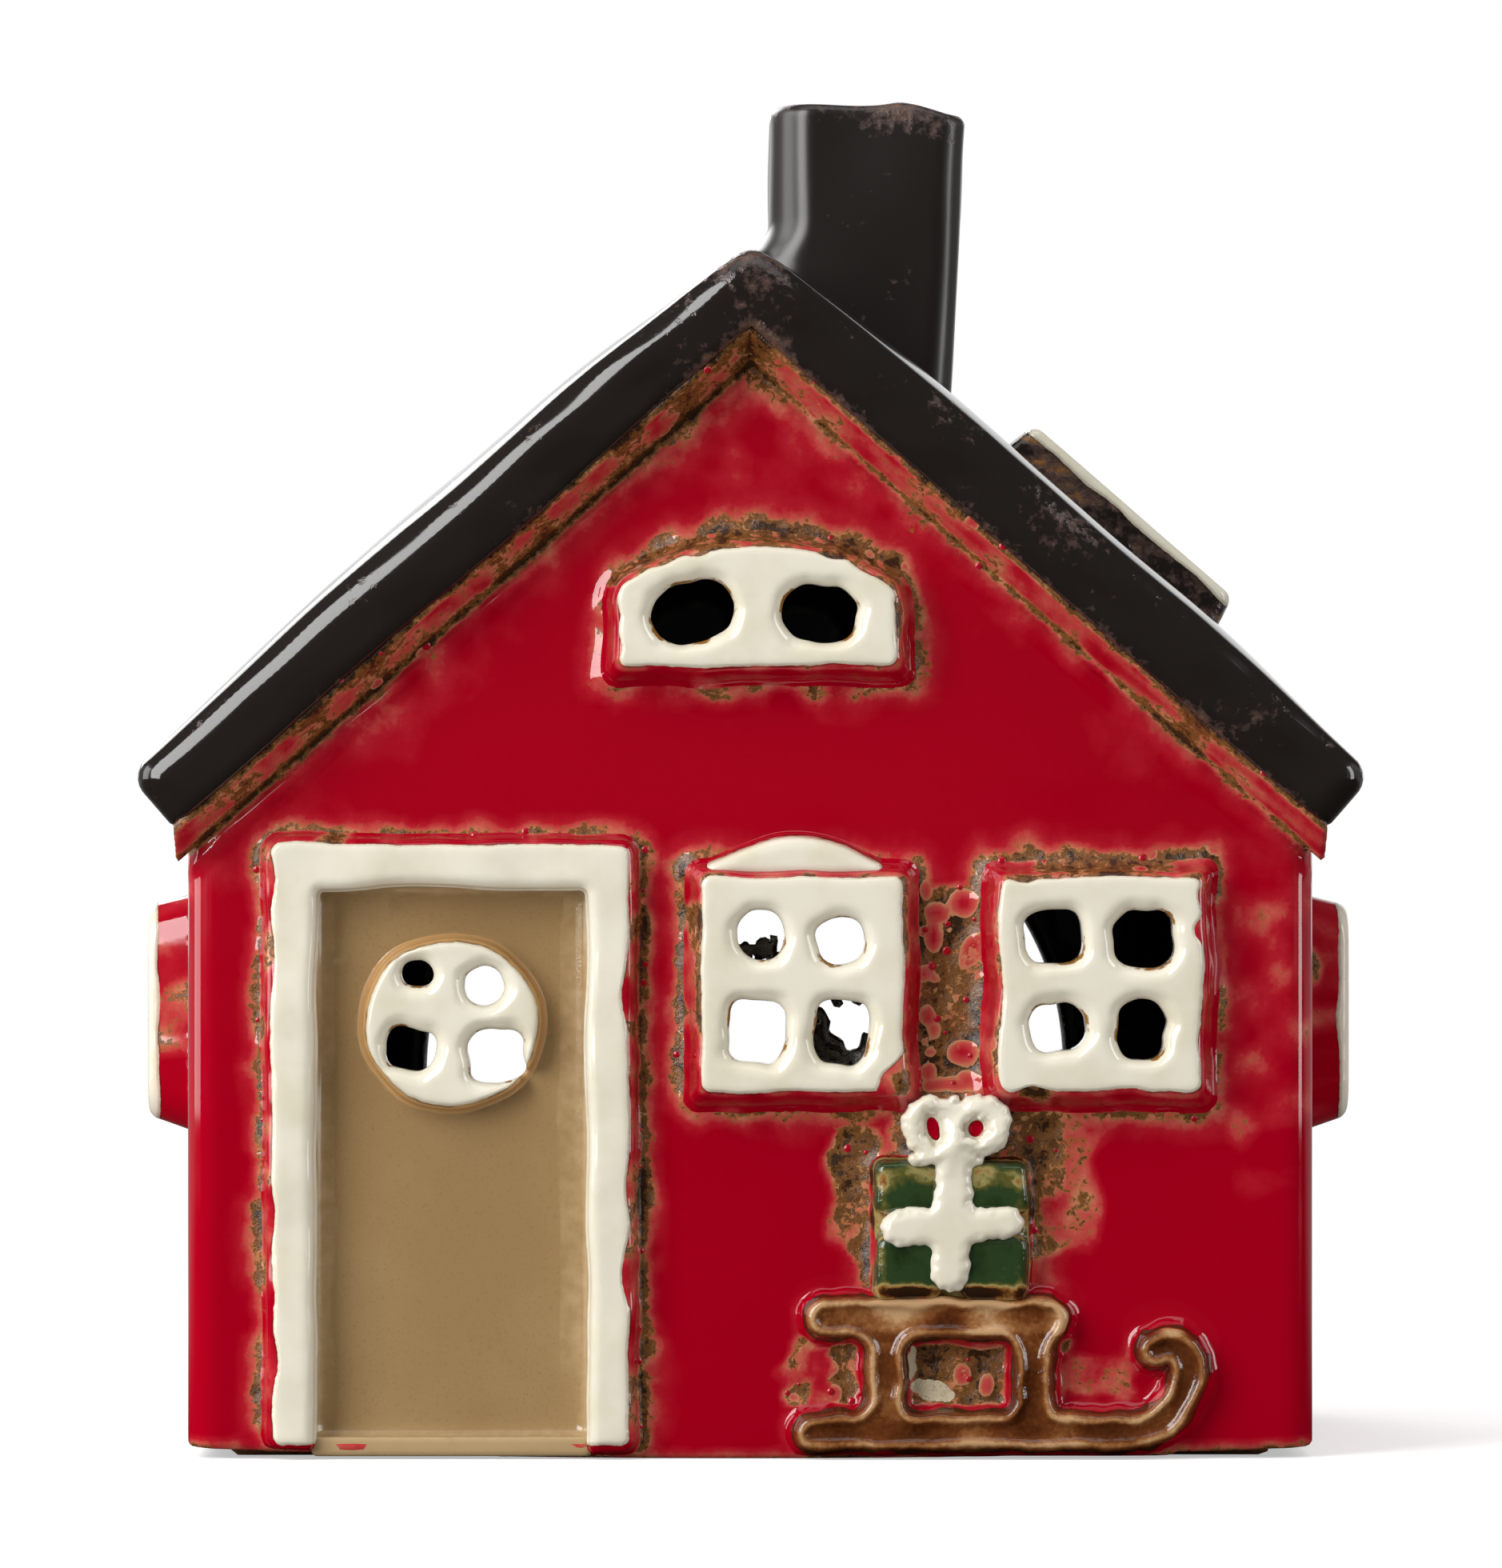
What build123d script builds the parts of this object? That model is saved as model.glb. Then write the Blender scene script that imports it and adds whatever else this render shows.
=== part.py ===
from build123d import *
import math
import os

# Ceramic tealight house: slab walls, a two-slab roof, drafted window blocks, a recessed door and a
# sled relief, with a tealight that stands on the floor and slides out of the arch in the back.
# Millimetres and degrees. +Z is up, the door side faces -Y, and the foot stands on z = 0.

# House body
wall_width = 125.4
wall_depth = 82.0
wall_thickness = 5.0
wall_corner_radius = 2.4
floor_thickness = 5.0
foot_lift = 1.2
wall_height = 67.7
roof_pitch = 41.0
roof_thickness = 7.5
roof_overhang = 6.0
roof_edge_radius = 2.0
ridge_radius = 4.0
eave_reach = 6.1
eave_radius = 3.0
band_lip = 1.0
rake_cove_height = 4.2
cove_lip = 0.4
eave_cove_height = 2.3
arch_width = 76.0
arch_height = 78.4

# Chimney, an open flue that stands on the right slope beside the ridge
chimney_rise = 18.5
chimney_width = 21.6
chimney_flare = 0.6
chimney_wall = 4.6
chimney_radius = 3.0
chimney_rim_radius = 1.5
chimney_ridge_gap = 2.6
chimney_front = 0.0

# Square windows: the sizes are those of the cream face, the drafts widen it towards the wall
window_proud = 4.6
window_head_drop = 2.8
window_gap = 7.3
side_draft = 1.5
bottom_draft = 2.0
block_corner_radius = 1.2
block_edge_share = 0.75
right_window_margin = 11.0
side_window_width = 24.0
side_window_height = 24.1
side_window_drop = 3.7
side_window_proud = 6.0
roof_window_length = 30.0
roof_window_width = 26.0
roof_window_proud = 6.0
roof_window_gap = 4.2

# Attic window, a low block with an arched head
attic_width = 31.3
attic_shoulder = 9.0
attic_height = 13.8
attic_drop = 37.7
attic_shift = 0.8

# Hood, an arched cap on the middle window
hood_width_share = 0.86
hood_height = 2.7
hood_proud = 2.6

# Door, its frame and the round window on it
door_margin = 9.2
door_frame_width = 40.6
door_frame_rise = 1.0
door_window_gap = 5.7
door_frame_band = 5.1
door_frame_proud = 3.2
door_frame_radius = 1.0
door_leg_share = 0.35
door_threshold = 2.0
door_recess = 2.0
round_window_width_share = 0.674
round_window_height_share = 0.638
round_window_drop = 15.2
round_window_proud = 3.4
round_window_radius = 1.2

# Sled relief
sled_proud = 3.2
sled_edge_radius = 0.8
seat_length = 28.9
seat_shift = -1.5
seat_thickness = 4.3
seat_top = 17.9
post_width = 4.0
post_spacing = 16.4
post_shift = 0.9
runner_thickness = 3.8
runner_tail = 15.3
nose_margin = 12.1
curl_radius = 7.0
curl_turn = 90.0
tip_radius_share = 0.64
tip_turn = 150.0

# Gift on the sled, with its ribbon and bow
gift_width = 16.6
gift_height = 15.0
gift_proud = 3.6
gift_draft = 0.5
gift_edge_radius = 0.7
ribbon_width = 4.1
ribbon_thickness = 0.9
bow_width = 12.3
bow_height = 5.5
ribbon_height_share = 0.54

# Tealight
cup_diameter = 38.0
cup_height = 16.0
foil = 0.5
rim_roll = 1.3
cup_draft = 0.6
wax_below_rim = 4.0
wick_diameter = 1.5
wick_above_wax = 6.0
wick_base_diameter = 12.0
wick_base_neck = 3.2
wick_base_thickness = 0.5
wick_neck_height = 3.4

# Clearance under the tealight, clearance between reliefs, and how far cuts run past a face
seat_clearance = 0.2
relief_clearance = 0.3
overrun = 2.0

# Panes of each window, as shares of its face: across, up, width and height, from its middle
right_pane_shares = (
    (-0.229, 0.220, 0.276, 0.241),
    (0.211, 0.208, 0.293, 0.265),
    (-0.211, -0.198, 0.276, 0.220),
    (0.200, -0.208, 0.236, 0.273),
)
middle_pane_shares = (
    (-0.202, 0.225, 0.230, 0.225),
    (0.185, 0.200, 0.239, 0.217),
    (-0.220, -0.217, 0.274, 0.283),
    (0.191, -0.221, 0.261, 0.292),
)
round_pane_shares = (
    (-0.190, 0.286, 0.166, 0.160),
    (0.176, 0.214, 0.215, 0.222),
    (-0.224, -0.144, 0.263, 0.237),
    (0.241, -0.188, 0.298, 0.304),
)
attic_pane_shares = (
    (-0.232, -0.047, 0.288, 0.471),
    (0.219, -0.058, 0.262, 0.449),
)
plain_pane_shares = (
    (-0.215, 0.212, 0.270, 0.250),
    (0.215, 0.212, 0.270, 0.250),
    (-0.215, -0.212, 0.270, 0.250),
    (0.215, -0.212, 0.270, 0.250),
)
pane_round_share = 0.42

# Bow loops and their eyes, as shares of the bow's width and height
loop_place_shares = (0.25, 0.56)
loop_size_shares = (0.27, 0.42)
eye_size_shares = (0.09, 0.16)
loop_tilt = 22.0

# Places that follow from the sizes above
half_width = wall_width / 2
half_depth = wall_depth / 2
inner_half_width = half_width - wall_thickness
inner_half_depth = half_depth - wall_thickness
roof_depth = wall_depth + 2 * roof_overhang
pitch_tan = math.tan(math.radians(roof_pitch))
pitch_sin = math.sin(math.radians(roof_pitch))
pitch_cos = math.cos(math.radians(roof_pitch))
eave_x = half_width + eave_reach
eave_low_x = eave_x - roof_thickness * pitch_sin
eave_low_z = wall_height + eave_cove_height
eave_z = eave_low_z + roof_thickness * pitch_cos
ridge_height = eave_z + eave_x * pitch_tan
inner_ridge = ridge_height - roof_thickness / pitch_cos
arch_radius = arch_width / 2

front_plane = Plane(origin=(0, -half_depth, 0), x_dir=(1, 0, 0), z_dir=(0, -1, 0))
back_plane = Plane(origin=(0, half_depth, 0), x_dir=(-1, 0, 0), z_dir=(0, 1, 0))
left_plane = Plane(origin=(-half_width, 0, 0), x_dir=(0, -1, 0), z_dir=(-1, 0, 0))
right_plane = Plane(origin=(half_width, 0, 0), x_dir=(0, 1, 0), z_dir=(1, 0, 0))
slope_plane = Plane(
    origin=(0, 0, ridge_height), x_dir=(0, 1, 0), z_dir=(pitch_sin, 0, pitch_cos)
)
door_plane = front_plane.offset(-door_recess)

gift_top = seat_top + gift_height
window_foot = gift_top + bow_height + relief_clearance
window_bottom = window_foot + bottom_draft
window_height = wall_height - window_head_drop - window_bottom
window_z = window_bottom + window_height / 2
side_window_z = window_z - side_window_drop
door_frame_edge = door_margin + door_frame_width - half_width
windows_span = half_width - right_window_margin - door_frame_edge - door_window_gap
window_width = (windows_span - window_gap) / 2 - 2 * side_draft
right_window_x = half_width - right_window_margin - side_draft - window_width / 2
middle_window_x = door_frame_edge + door_window_gap + side_draft + window_width / 2
block_edge_radius = block_corner_radius * block_edge_share
hood_foot = window_bottom + window_height + side_draft
hood_width = window_width * hood_width_share
attic_bottom = inner_ridge - attic_drop
attic_z = attic_bottom + attic_height / 2

door_x = door_margin + door_frame_width / 2 - half_width
door_width = door_frame_width - 2 * door_frame_band
door_frame_top = wall_height + door_frame_rise
door_top = door_frame_top - door_frame_band
door_height = door_top - door_threshold
round_window_width = door_width * round_window_width_share
round_window_height = door_width * round_window_height_share
round_window_place = door_top - round_window_drop

gift_x = (middle_window_x + right_window_x) / 2
runner_z = foot_lift + runner_thickness / 2
curl_x = half_width - nose_margin - runner_thickness / 2 - curl_radius
tip_radius = runner_thickness * tip_radius_share
loop_z = gift_top + bow_height * loop_place_shares[1]

chimney_top = ridge_height + chimney_rise
chimney_x = chimney_ridge_gap + chimney_width / 2
chimney_y = chimney_front + chimney_width / 2
chimney_foot = ridge_height - (chimney_ridge_gap + chimney_width) * pitch_tan - overrun
flue_width = chimney_width - 2 * chimney_wall
roof_window_place = (
    (chimney_ridge_gap + chimney_width) / pitch_cos
    + roof_window_gap
    + side_draft
    + roof_window_length / 2
)
roof_window_y = chimney_y


def pane_holes(x, y, width, height, shares):
    """Draw the panes of a window in the open sketch, round its middle."""
    for across_share, up_share, width_share, height_share in shares:
        pane_width = width * width_share
        pane_height = height * height_share
        with Locations((x + width * across_share, y + height * up_share)):
            RectangleRounded(
                pane_width, pane_height, min(pane_width, pane_height) * pane_round_share
            )


def window_block(plane, x, y, width, height, proud, shares):
    """A drafted block on a plane, wider at its foot, with its panes cut through."""
    foot_height = height + side_draft + bottom_draft
    foot_y = y + (side_draft - bottom_draft) / 2
    with BuildPart() as block:
        with BuildSketch(plane):
            with Locations((x, foot_y)):
                RectangleRounded(width + 2 * side_draft, foot_height, block_corner_radius)
        with BuildSketch(plane.offset(proud)):
            with Locations((x, y)):
                RectangleRounded(width, height, block_corner_radius)
        loft()
        face_edges = block.faces().sort_by(Axis(plane.origin, plane.z_dir))[-1].edges()
        fillet(face_edges, block_edge_radius)
        with BuildSketch(plane):
            pane_holes(x, y, width, height, shares)
        extrude(amount=proud + overrun, mode=Mode.SUBTRACT)
    return block.part


def attic_outline(widening, foot_drop, head_rise):
    """Draw the arched outline of the attic window in the open sketch."""
    half = attic_width / 2 + widening
    bottom = attic_bottom - foot_drop
    shoulder = attic_bottom + attic_shoulder
    head = attic_bottom + attic_height + head_rise
    with BuildLine() as outline:
        sides = Polyline(
            (attic_shift - half, shoulder),
            (attic_shift - half, bottom),
            (attic_shift + half, bottom),
            (attic_shift + half, shoulder),
        )
        ThreePointArc(sides @ 1, (attic_shift, head), sides @ 0)
    make_face(outline.edges())


def gable_outline():
    """Draw a gable wall: bowed foot, sides, the cove under each eave, and the two rakes."""
    with BuildLine() as outline:
        rakes = Polyline(
            (half_width, foot_lift),
            (half_width, wall_height),
            (eave_low_x, eave_low_z),
            (0, inner_ridge),
            (-eave_low_x, eave_low_z),
            (-half_width, wall_height),
            (-half_width, foot_lift),
        )
        ThreePointArc(rakes @ 1, (0, 0), rakes @ 0)
    make_face(outline.edges())


def rake_chevron(reach_x, height):
    """Draw the chevron that the cove fills under the two roof slabs."""
    reach_z = inner_ridge - reach_x * pitch_tan
    drop = height / pitch_cos
    with BuildLine() as outline:
        Polyline(
            (-reach_x, reach_z),
            (0, inner_ridge),
            (reach_x, reach_z),
            (reach_x, reach_z - drop),
            (0, inner_ridge - drop),
            (-reach_x, reach_z - drop),
            close=True,
        )
    make_face(outline.edges())


def gable_slab(plane):
    """One gable wall with rounded corners and the cove that carries the roof's overhang."""
    outward = Axis(plane.origin, plane.z_dir)
    with BuildPart() as slab:
        with BuildSketch(plane):
            gable_outline()
        extrude(amount=-wall_thickness)
        corners = slab.edges().filter_by(Axis.Z).group_by(outward)[-1]
        fillet(corners, wall_corner_radius)
        with BuildSketch(plane):
            rake_chevron(half_width, rake_cove_height)
        with BuildSketch(plane.offset(roof_overhang - band_lip)):
            rake_chevron(eave_low_x, cove_lip)
        loft(ruled=True)
    return slab.part


def side_wall(plane, side):
    """A side wall between the gables, with the cove under the eave and its window's panes."""
    with BuildPart() as wall:
        with BuildSketch(Plane.XZ):
            with BuildLine():
                Polyline(
                    (side * inner_half_width, foot_lift),
                    (side * half_width, foot_lift),
                    (side * half_width, wall_height),
                    (side * eave_low_x, eave_low_z),
                    (side * inner_half_width, inner_ridge - inner_half_width * pitch_tan),
                    close=True,
                )
            make_face()
        extrude(amount=inner_half_depth, both=True)
        with BuildSketch(plane):
            pane_holes(0, side_window_z, side_window_width, side_window_height, plain_pane_shares)
        extrude(amount=-(wall_thickness + overrun), mode=Mode.SUBTRACT)
    return wall.part


def above_underside(edge):
    """Whether an edge of the roof's section lies off the underside of the slabs."""
    middle = edge.center()
    return middle.Z + abs(middle.X) * pitch_tan > inner_ridge + cove_lip


def roof_half(keep):
    """One roof slab: half of the roof's rounded section, mitred at the ridge."""
    with BuildPart() as slab:
        with BuildSketch(Plane.XZ):
            with BuildLine():
                FilletPolyline(
                    (0, ridge_height),
                    (eave_x, eave_z),
                    (eave_low_x, eave_low_z),
                    (0, inner_ridge),
                    (-eave_low_x, eave_low_z),
                    (-eave_x, eave_z),
                    radius=(ridge_radius, eave_radius, 0, 0, 0, eave_radius),
                    close=True,
                )
            make_face()
        extrude(amount=roof_depth / 2, both=True)
        end_edges = slab.faces().filter_by(Axis.Y).edges()
        fillet(end_edges.filter_by(above_underside), roof_edge_radius)
        split(bisect_by=Plane.YZ, keep=keep)
    return slab.part


# Floor
with BuildPart() as floor_slab:
    with BuildSketch(Plane.XY):
        Rectangle(2 * inner_half_width, 2 * inner_half_depth)
    extrude(amount=floor_thickness)
    chamfer(floor_slab.faces().sort_by(Axis.Z)[0].edges(), foot_lift)

# Front wall: the gable slab with the doorway and the panes of its three windows
front_slab = gable_slab(front_plane)
with BuildPart() as front_wall:
    add(front_slab)
    with BuildSketch(front_plane):
        with Locations((door_x, door_threshold + door_height / 2)):
            Rectangle(door_width, door_height)
        pane_holes(right_window_x, window_z, window_width, window_height, right_pane_shares)
        pane_holes(middle_window_x, window_z, window_width, window_height, middle_pane_shares)
        pane_holes(attic_shift, attic_z, attic_width, attic_height, attic_pane_shares)
    extrude(amount=-(wall_thickness + overrun), mode=Mode.SUBTRACT)

# Back wall: the gable slab with the arch that the tealight goes through
back_slab = gable_slab(back_plane)
with BuildPart() as back_wall:
    add(back_slab)
    with BuildSketch(back_plane):
        with BuildLine():
            arch_sides = Polyline(
                (-arch_radius, arch_height - arch_radius),
                (-arch_radius, floor_thickness),
                (arch_radius, floor_thickness),
                (arch_radius, arch_height - arch_radius),
            )
            ThreePointArc(arch_sides @ 1, (0, arch_height), arch_sides @ 0)
        make_face()
    extrude(amount=-(wall_thickness + overrun), mode=Mode.SUBTRACT)

left_wall = side_wall(left_plane, -1)
right_wall = side_wall(right_plane, 1)

# Roof slabs, the right one with the flue's hole and the panes of the roof window
roof_left = roof_half(Keep.BOTTOM)
right_slab = roof_half(Keep.TOP)
with BuildPart() as roof_right:
    add(right_slab)
    with BuildSketch(Plane.XY):
        with Locations((chimney_x, chimney_y)):
            RectangleRounded(flue_width, flue_width, chimney_radius / 2)
    extrude(amount=chimney_top, mode=Mode.SUBTRACT)
    with BuildSketch(slope_plane):
        pane_holes(
            roof_window_y, -roof_window_place, roof_window_width, roof_window_length,
            plain_pane_shares,
        )
    extrude(amount=-(roof_thickness + overrun), mode=Mode.SUBTRACT)

# Chimney: widens a little towards its top, and its foot is cut to the slope
with BuildPart() as chimney:
    with BuildSketch(Plane.XY.offset(chimney_foot)):
        with Locations((chimney_x, chimney_y)):
            RectangleRounded(chimney_width, chimney_width, chimney_radius)
    with BuildSketch(Plane.XY.offset(chimney_top)):
        with Locations((chimney_x + chimney_flare, chimney_y)):
            RectangleRounded(
                chimney_width + 2 * chimney_flare, chimney_width, chimney_radius
            )
    loft()
    split(bisect_by=slope_plane, keep=Keep.TOP)
    rim_edges = chimney.faces().sort_by(Axis.Z)[-1].edges()
    fillet(rim_edges, chimney_rim_radius)
    with BuildSketch(Plane.XY):
        with Locations((chimney_x, chimney_y)):
            RectangleRounded(flue_width, flue_width, chimney_radius / 2)
    extrude(amount=chimney_top, mode=Mode.SUBTRACT)

# Square windows
right_window = window_block(
    front_plane, right_window_x, window_z, window_width, window_height, window_proud,
    right_pane_shares,
)
middle_window = window_block(
    front_plane, middle_window_x, window_z, window_width, window_height, window_proud,
    middle_pane_shares,
)
left_side_window = window_block(
    left_plane, 0, side_window_z, side_window_width, side_window_height, side_window_proud,
    plain_pane_shares,
)
right_side_window = window_block(
    right_plane, 0, side_window_z, side_window_width, side_window_height, side_window_proud,
    plain_pane_shares,
)

# Attic window
with BuildPart() as attic_window:
    with BuildSketch(front_plane):
        attic_outline(side_draft, bottom_draft, side_draft)
    with BuildSketch(front_plane.offset(window_proud)):
        attic_outline(0, 0, 0)
    loft()
    fillet(attic_window.faces().sort_by(Axis.Y)[0].edges(), block_edge_radius)
    with BuildSketch(front_plane):
        pane_holes(attic_shift, attic_z, attic_width, attic_height, attic_pane_shares)
    extrude(amount=window_proud + overrun, mode=Mode.SUBTRACT)

# Hood: a flat foot on the block's top and an arched back
with BuildPart() as window_hood:
    with BuildSketch(front_plane):
        with BuildLine():
            chord = Line(
                (middle_window_x - hood_width / 2, hood_foot),
                (middle_window_x + hood_width / 2, hood_foot),
            )
            ThreePointArc(chord @ 1, (middle_window_x, hood_foot + hood_height), chord @ 0)
        make_face()
    extrude(amount=hood_proud)

# Door frame: two legs and a lintel round the doorway
with BuildPart() as door_frame:
    with BuildSketch(front_plane) as frame_outline:
        with Locations((door_x, (door_frame_top + foot_lift) / 2)):
            Rectangle(door_frame_width, door_frame_top - foot_lift)
        with Locations((door_x, door_top / 2)):
            Rectangle(door_width, door_top, mode=Mode.SUBTRACT)
        leg_corners = frame_outline.vertices().group_by(Axis.Y)[0]
        fillet(leg_corners, door_frame_band * door_leg_share)
        lintel_corners = frame_outline.vertices().group_by(Axis.Y)[-1]
        fillet(lintel_corners, door_frame_radius)
    extrude(amount=door_frame_proud)
    fillet(door_frame.faces().sort_by(Axis.Y)[0].edges(), door_frame_radius)

# Door: it fills the doorway, set back from the wall's face
with BuildPart() as door_panel:
    with BuildSketch(door_plane):
        with Locations((door_x, door_threshold + door_height / 2)):
            Rectangle(door_width, door_height)
        pane_holes(
            door_x, round_window_place, round_window_width, round_window_height,
            round_pane_shares,
        )
    extrude(amount=door_recess - wall_thickness)

# Round window on the door
with BuildPart() as round_window:
    with BuildSketch(door_plane):
        with Locations((door_x, round_window_place)):
            Ellipse(round_window_width / 2, round_window_height / 2)
    extrude(amount=round_window_proud)
    fillet(round_window.faces().sort_by(Axis.Y)[0].edges(), round_window_radius)
    with BuildSketch(door_plane):
        pane_holes(
            door_x, round_window_place, round_window_width, round_window_height,
            round_pane_shares,
        )
    extrude(amount=round_window_proud + overrun, mode=Mode.SUBTRACT)

# Roof window, on the right slope below the chimney
roof_window = window_block(
    slope_plane, roof_window_y, -roof_window_place, roof_window_width, roof_window_length,
    roof_window_proud, plain_pane_shares,
)

# Sled: a seat on two posts, and a runner that curls up at its nose
with BuildPart() as sled:
    with BuildSketch(front_plane):
        with BuildLine() as runner_line:
            run = Line((gift_x - runner_tail, runner_z), (curl_x, runner_z))
            rise = JernArc(run @ 1, run % 1, curl_radius, curl_turn)
            tip = JernArc(rise @ 1, rise % 1, tip_radius, tip_turn)
        trace(line_width=runner_thickness)
        with Locations(run @ 0, tip @ 1):
            Circle(runner_thickness / 2)
        with Locations((gift_x + seat_shift, seat_top - seat_thickness / 2)):
            SlotOverall(seat_length, seat_thickness)
        with Locations((gift_x + post_shift, (runner_z + seat_top - seat_thickness / 2) / 2)):
            with GridLocations(post_spacing, 0, 2, 1):
                Rectangle(post_width, seat_top - seat_thickness / 2 - runner_z)
    extrude(amount=sled_proud)
    fillet(sled.faces().sort_by(Axis.Y)[0].edges(), sled_edge_radius)

# Gift box on the seat
with BuildPart() as gift_box:
    with BuildSketch(front_plane):
        with Locations((gift_x, seat_top + gift_height / 2)):
            Rectangle(gift_width + 2 * gift_draft, gift_height)
    with BuildSketch(front_plane.offset(gift_proud)):
        with Locations((gift_x, seat_top + gift_height / 2)):
            Rectangle(gift_width, gift_height)
    loft()
    fillet(gift_box.faces().sort_by(Axis.Y)[0].edges(), gift_edge_radius)

# Ribbon: a cross on the gift's face, and a bow that stands on its top
with BuildPart() as gift_ribbon:
    with BuildSketch(front_plane.offset(gift_proud)):
        with Locations((gift_x, (seat_top + gift_edge_radius + gift_top + ribbon_width / 2) / 2)):
            Rectangle(ribbon_width, gift_height + ribbon_width / 2 - gift_edge_radius)
        with Locations((gift_x, seat_top + gift_height * ribbon_height_share)):
            SlotOverall(gift_width - gift_edge_radius, ribbon_width)
    extrude(amount=ribbon_thickness)
    with BuildSketch(front_plane):
        with Locations((gift_x, (gift_top + loop_z) / 2)):
            Rectangle(ribbon_width, loop_z - gift_top)
        for side in (-1, 1):
            loop_x = gift_x + side * bow_width * loop_place_shares[0]
            with Locations(Location((loop_x, loop_z), side * loop_tilt)):
                Ellipse(bow_width * loop_size_shares[0], bow_height * loop_size_shares[1])
                Ellipse(
                    bow_width * eye_size_shares[0], bow_height * eye_size_shares[1],
                    mode=Mode.SUBTRACT,
                )
    extrude(amount=gift_proud + ribbon_thickness)

# Tealight: foil cup with a rolled rim, wax, wick, and the tin base that holds the wick
cup_foot = floor_thickness + seat_clearance
cup_floor = cup_foot + foil
cup_top = cup_foot + cup_height
cup_top_radius = (cup_diameter - rim_roll) / 2
cup_foot_radius = cup_top_radius - cup_draft
wax_top = cup_top - wax_below_rim
wax_top_radius = (
    cup_foot_radius - foil + cup_draft * (wax_top - cup_floor) / (cup_height - foil)
)
base_top = cup_floor + wick_base_thickness
neck_top = base_top + wick_neck_height

with BuildPart() as tealight_cup:
    with BuildSketch(Plane.XZ):
        with BuildLine():
            Polyline(
                (0, cup_foot),
                (cup_foot_radius, cup_foot),
                (cup_top_radius, cup_top),
                (cup_top_radius - foil, cup_top),
                (cup_foot_radius - foil, cup_floor),
                (0, cup_floor),
                close=True,
            )
        make_face()
        with Locations((cup_top_radius, cup_top - rim_roll / 2)):
            Circle(rim_roll / 2)
    revolve(axis=Axis.Z)

with BuildPart() as candle_wax:
    with BuildSketch(Plane.XZ):
        with BuildLine():
            Polyline(
                (wick_diameter / 2, wax_top),
                (wax_top_radius, wax_top),
                (cup_foot_radius - foil, cup_floor),
                (wick_base_diameter / 2, cup_floor),
                (wick_base_diameter / 2, base_top),
                (wick_base_neck / 2, base_top),
                (wick_base_neck / 2, neck_top),
                (wick_diameter / 2, neck_top),
                close=True,
            )
        make_face()
    revolve(axis=Axis.Z)

with BuildPart() as wick_base:
    with BuildSketch(Plane.XZ):
        with BuildLine():
            Polyline(
                (0, cup_floor),
                (wick_base_diameter / 2, cup_floor),
                (wick_base_diameter / 2, base_top),
                (wick_base_neck / 2, base_top),
                (wick_base_neck / 2, neck_top),
                (wick_diameter / 2, neck_top),
                (wick_diameter / 2, base_top),
                (0, base_top),
                close=True,
            )
        make_face()
    revolve(axis=Axis.Z)

with BuildPart() as wick:
    with BuildSketch(Plane.XY.offset(base_top)):
        Circle(wick_diameter / 2)
    extrude(amount=wax_top + wick_above_wax - base_top)
    fillet(wick.faces().sort_by(Axis.Z)[-1].edges(), wick_diameter / 4)

pieces = {
    "floor_slab": floor_slab.part,
    "front_wall": front_wall.part,
    "back_wall": back_wall.part,
    "left_wall": left_wall,
    "right_wall": right_wall,
    "roof_left": roof_left,
    "roof_right": roof_right.part,
    "chimney": chimney.part,
    "attic_window": attic_window.part,
    "middle_window": middle_window,
    "window_hood": window_hood.part,
    "right_window": right_window,
    "door_frame": door_frame.part,
    "door_panel": door_panel.part,
    "round_window": round_window.part,
    "left_side_window": left_side_window,
    "right_side_window": right_side_window,
    "roof_window": roof_window,
    "sled": sled.part,
    "gift_box": gift_box.part,
    "gift_ribbon": gift_ribbon.part,
    "tealight_cup": tealight_cup.part,
    "candle_wax": candle_wax.part,
    "wick_base": wick_base.part,
    "wick": wick.part,
}

os.makedirs("parts", exist_ok=True)
for name, piece in pieces.items():
    piece.label = name
    export_step(piece, f"parts/{name}.step")
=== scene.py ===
import math
from functools import reduce

import bpy
import numpy as np
from bpy.props import FloatProperty, FloatVectorProperty, IntProperty, PointerProperty
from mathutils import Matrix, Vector


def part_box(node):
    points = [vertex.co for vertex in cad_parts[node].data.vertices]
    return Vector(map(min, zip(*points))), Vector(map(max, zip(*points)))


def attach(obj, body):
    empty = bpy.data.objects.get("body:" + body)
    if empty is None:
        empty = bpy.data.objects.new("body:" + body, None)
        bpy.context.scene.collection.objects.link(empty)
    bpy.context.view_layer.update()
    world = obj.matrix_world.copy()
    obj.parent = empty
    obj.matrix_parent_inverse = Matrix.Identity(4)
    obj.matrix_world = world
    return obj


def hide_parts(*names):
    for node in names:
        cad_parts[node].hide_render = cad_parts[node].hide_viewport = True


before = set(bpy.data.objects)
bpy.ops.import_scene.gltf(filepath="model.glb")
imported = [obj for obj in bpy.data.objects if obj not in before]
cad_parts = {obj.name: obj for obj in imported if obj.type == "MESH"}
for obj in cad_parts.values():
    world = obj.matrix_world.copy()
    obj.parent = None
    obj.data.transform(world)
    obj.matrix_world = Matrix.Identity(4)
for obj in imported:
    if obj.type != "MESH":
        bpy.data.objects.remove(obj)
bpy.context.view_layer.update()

bl_info = {
    "name": "Tealight house",
    "version": (1, 0, 0),
    "blender": (4, 5, 0),
    "location": "View3D > Sidebar > Tealight house",
    "description": "Models and glazes a ceramic tealight house round its frame",
    "category": "Add Mesh",
}

# Pieces are worked out in millimetres and put into the scene in metres
MM = 0.001

HOUSE = "house"
TEALIGHT = "tealight"


def corners(node):
    """The lowest and the highest corner of a frame node, in millimetres."""
    low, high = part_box(node)
    return np.array(low) / MM, np.array(high) / MM


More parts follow.
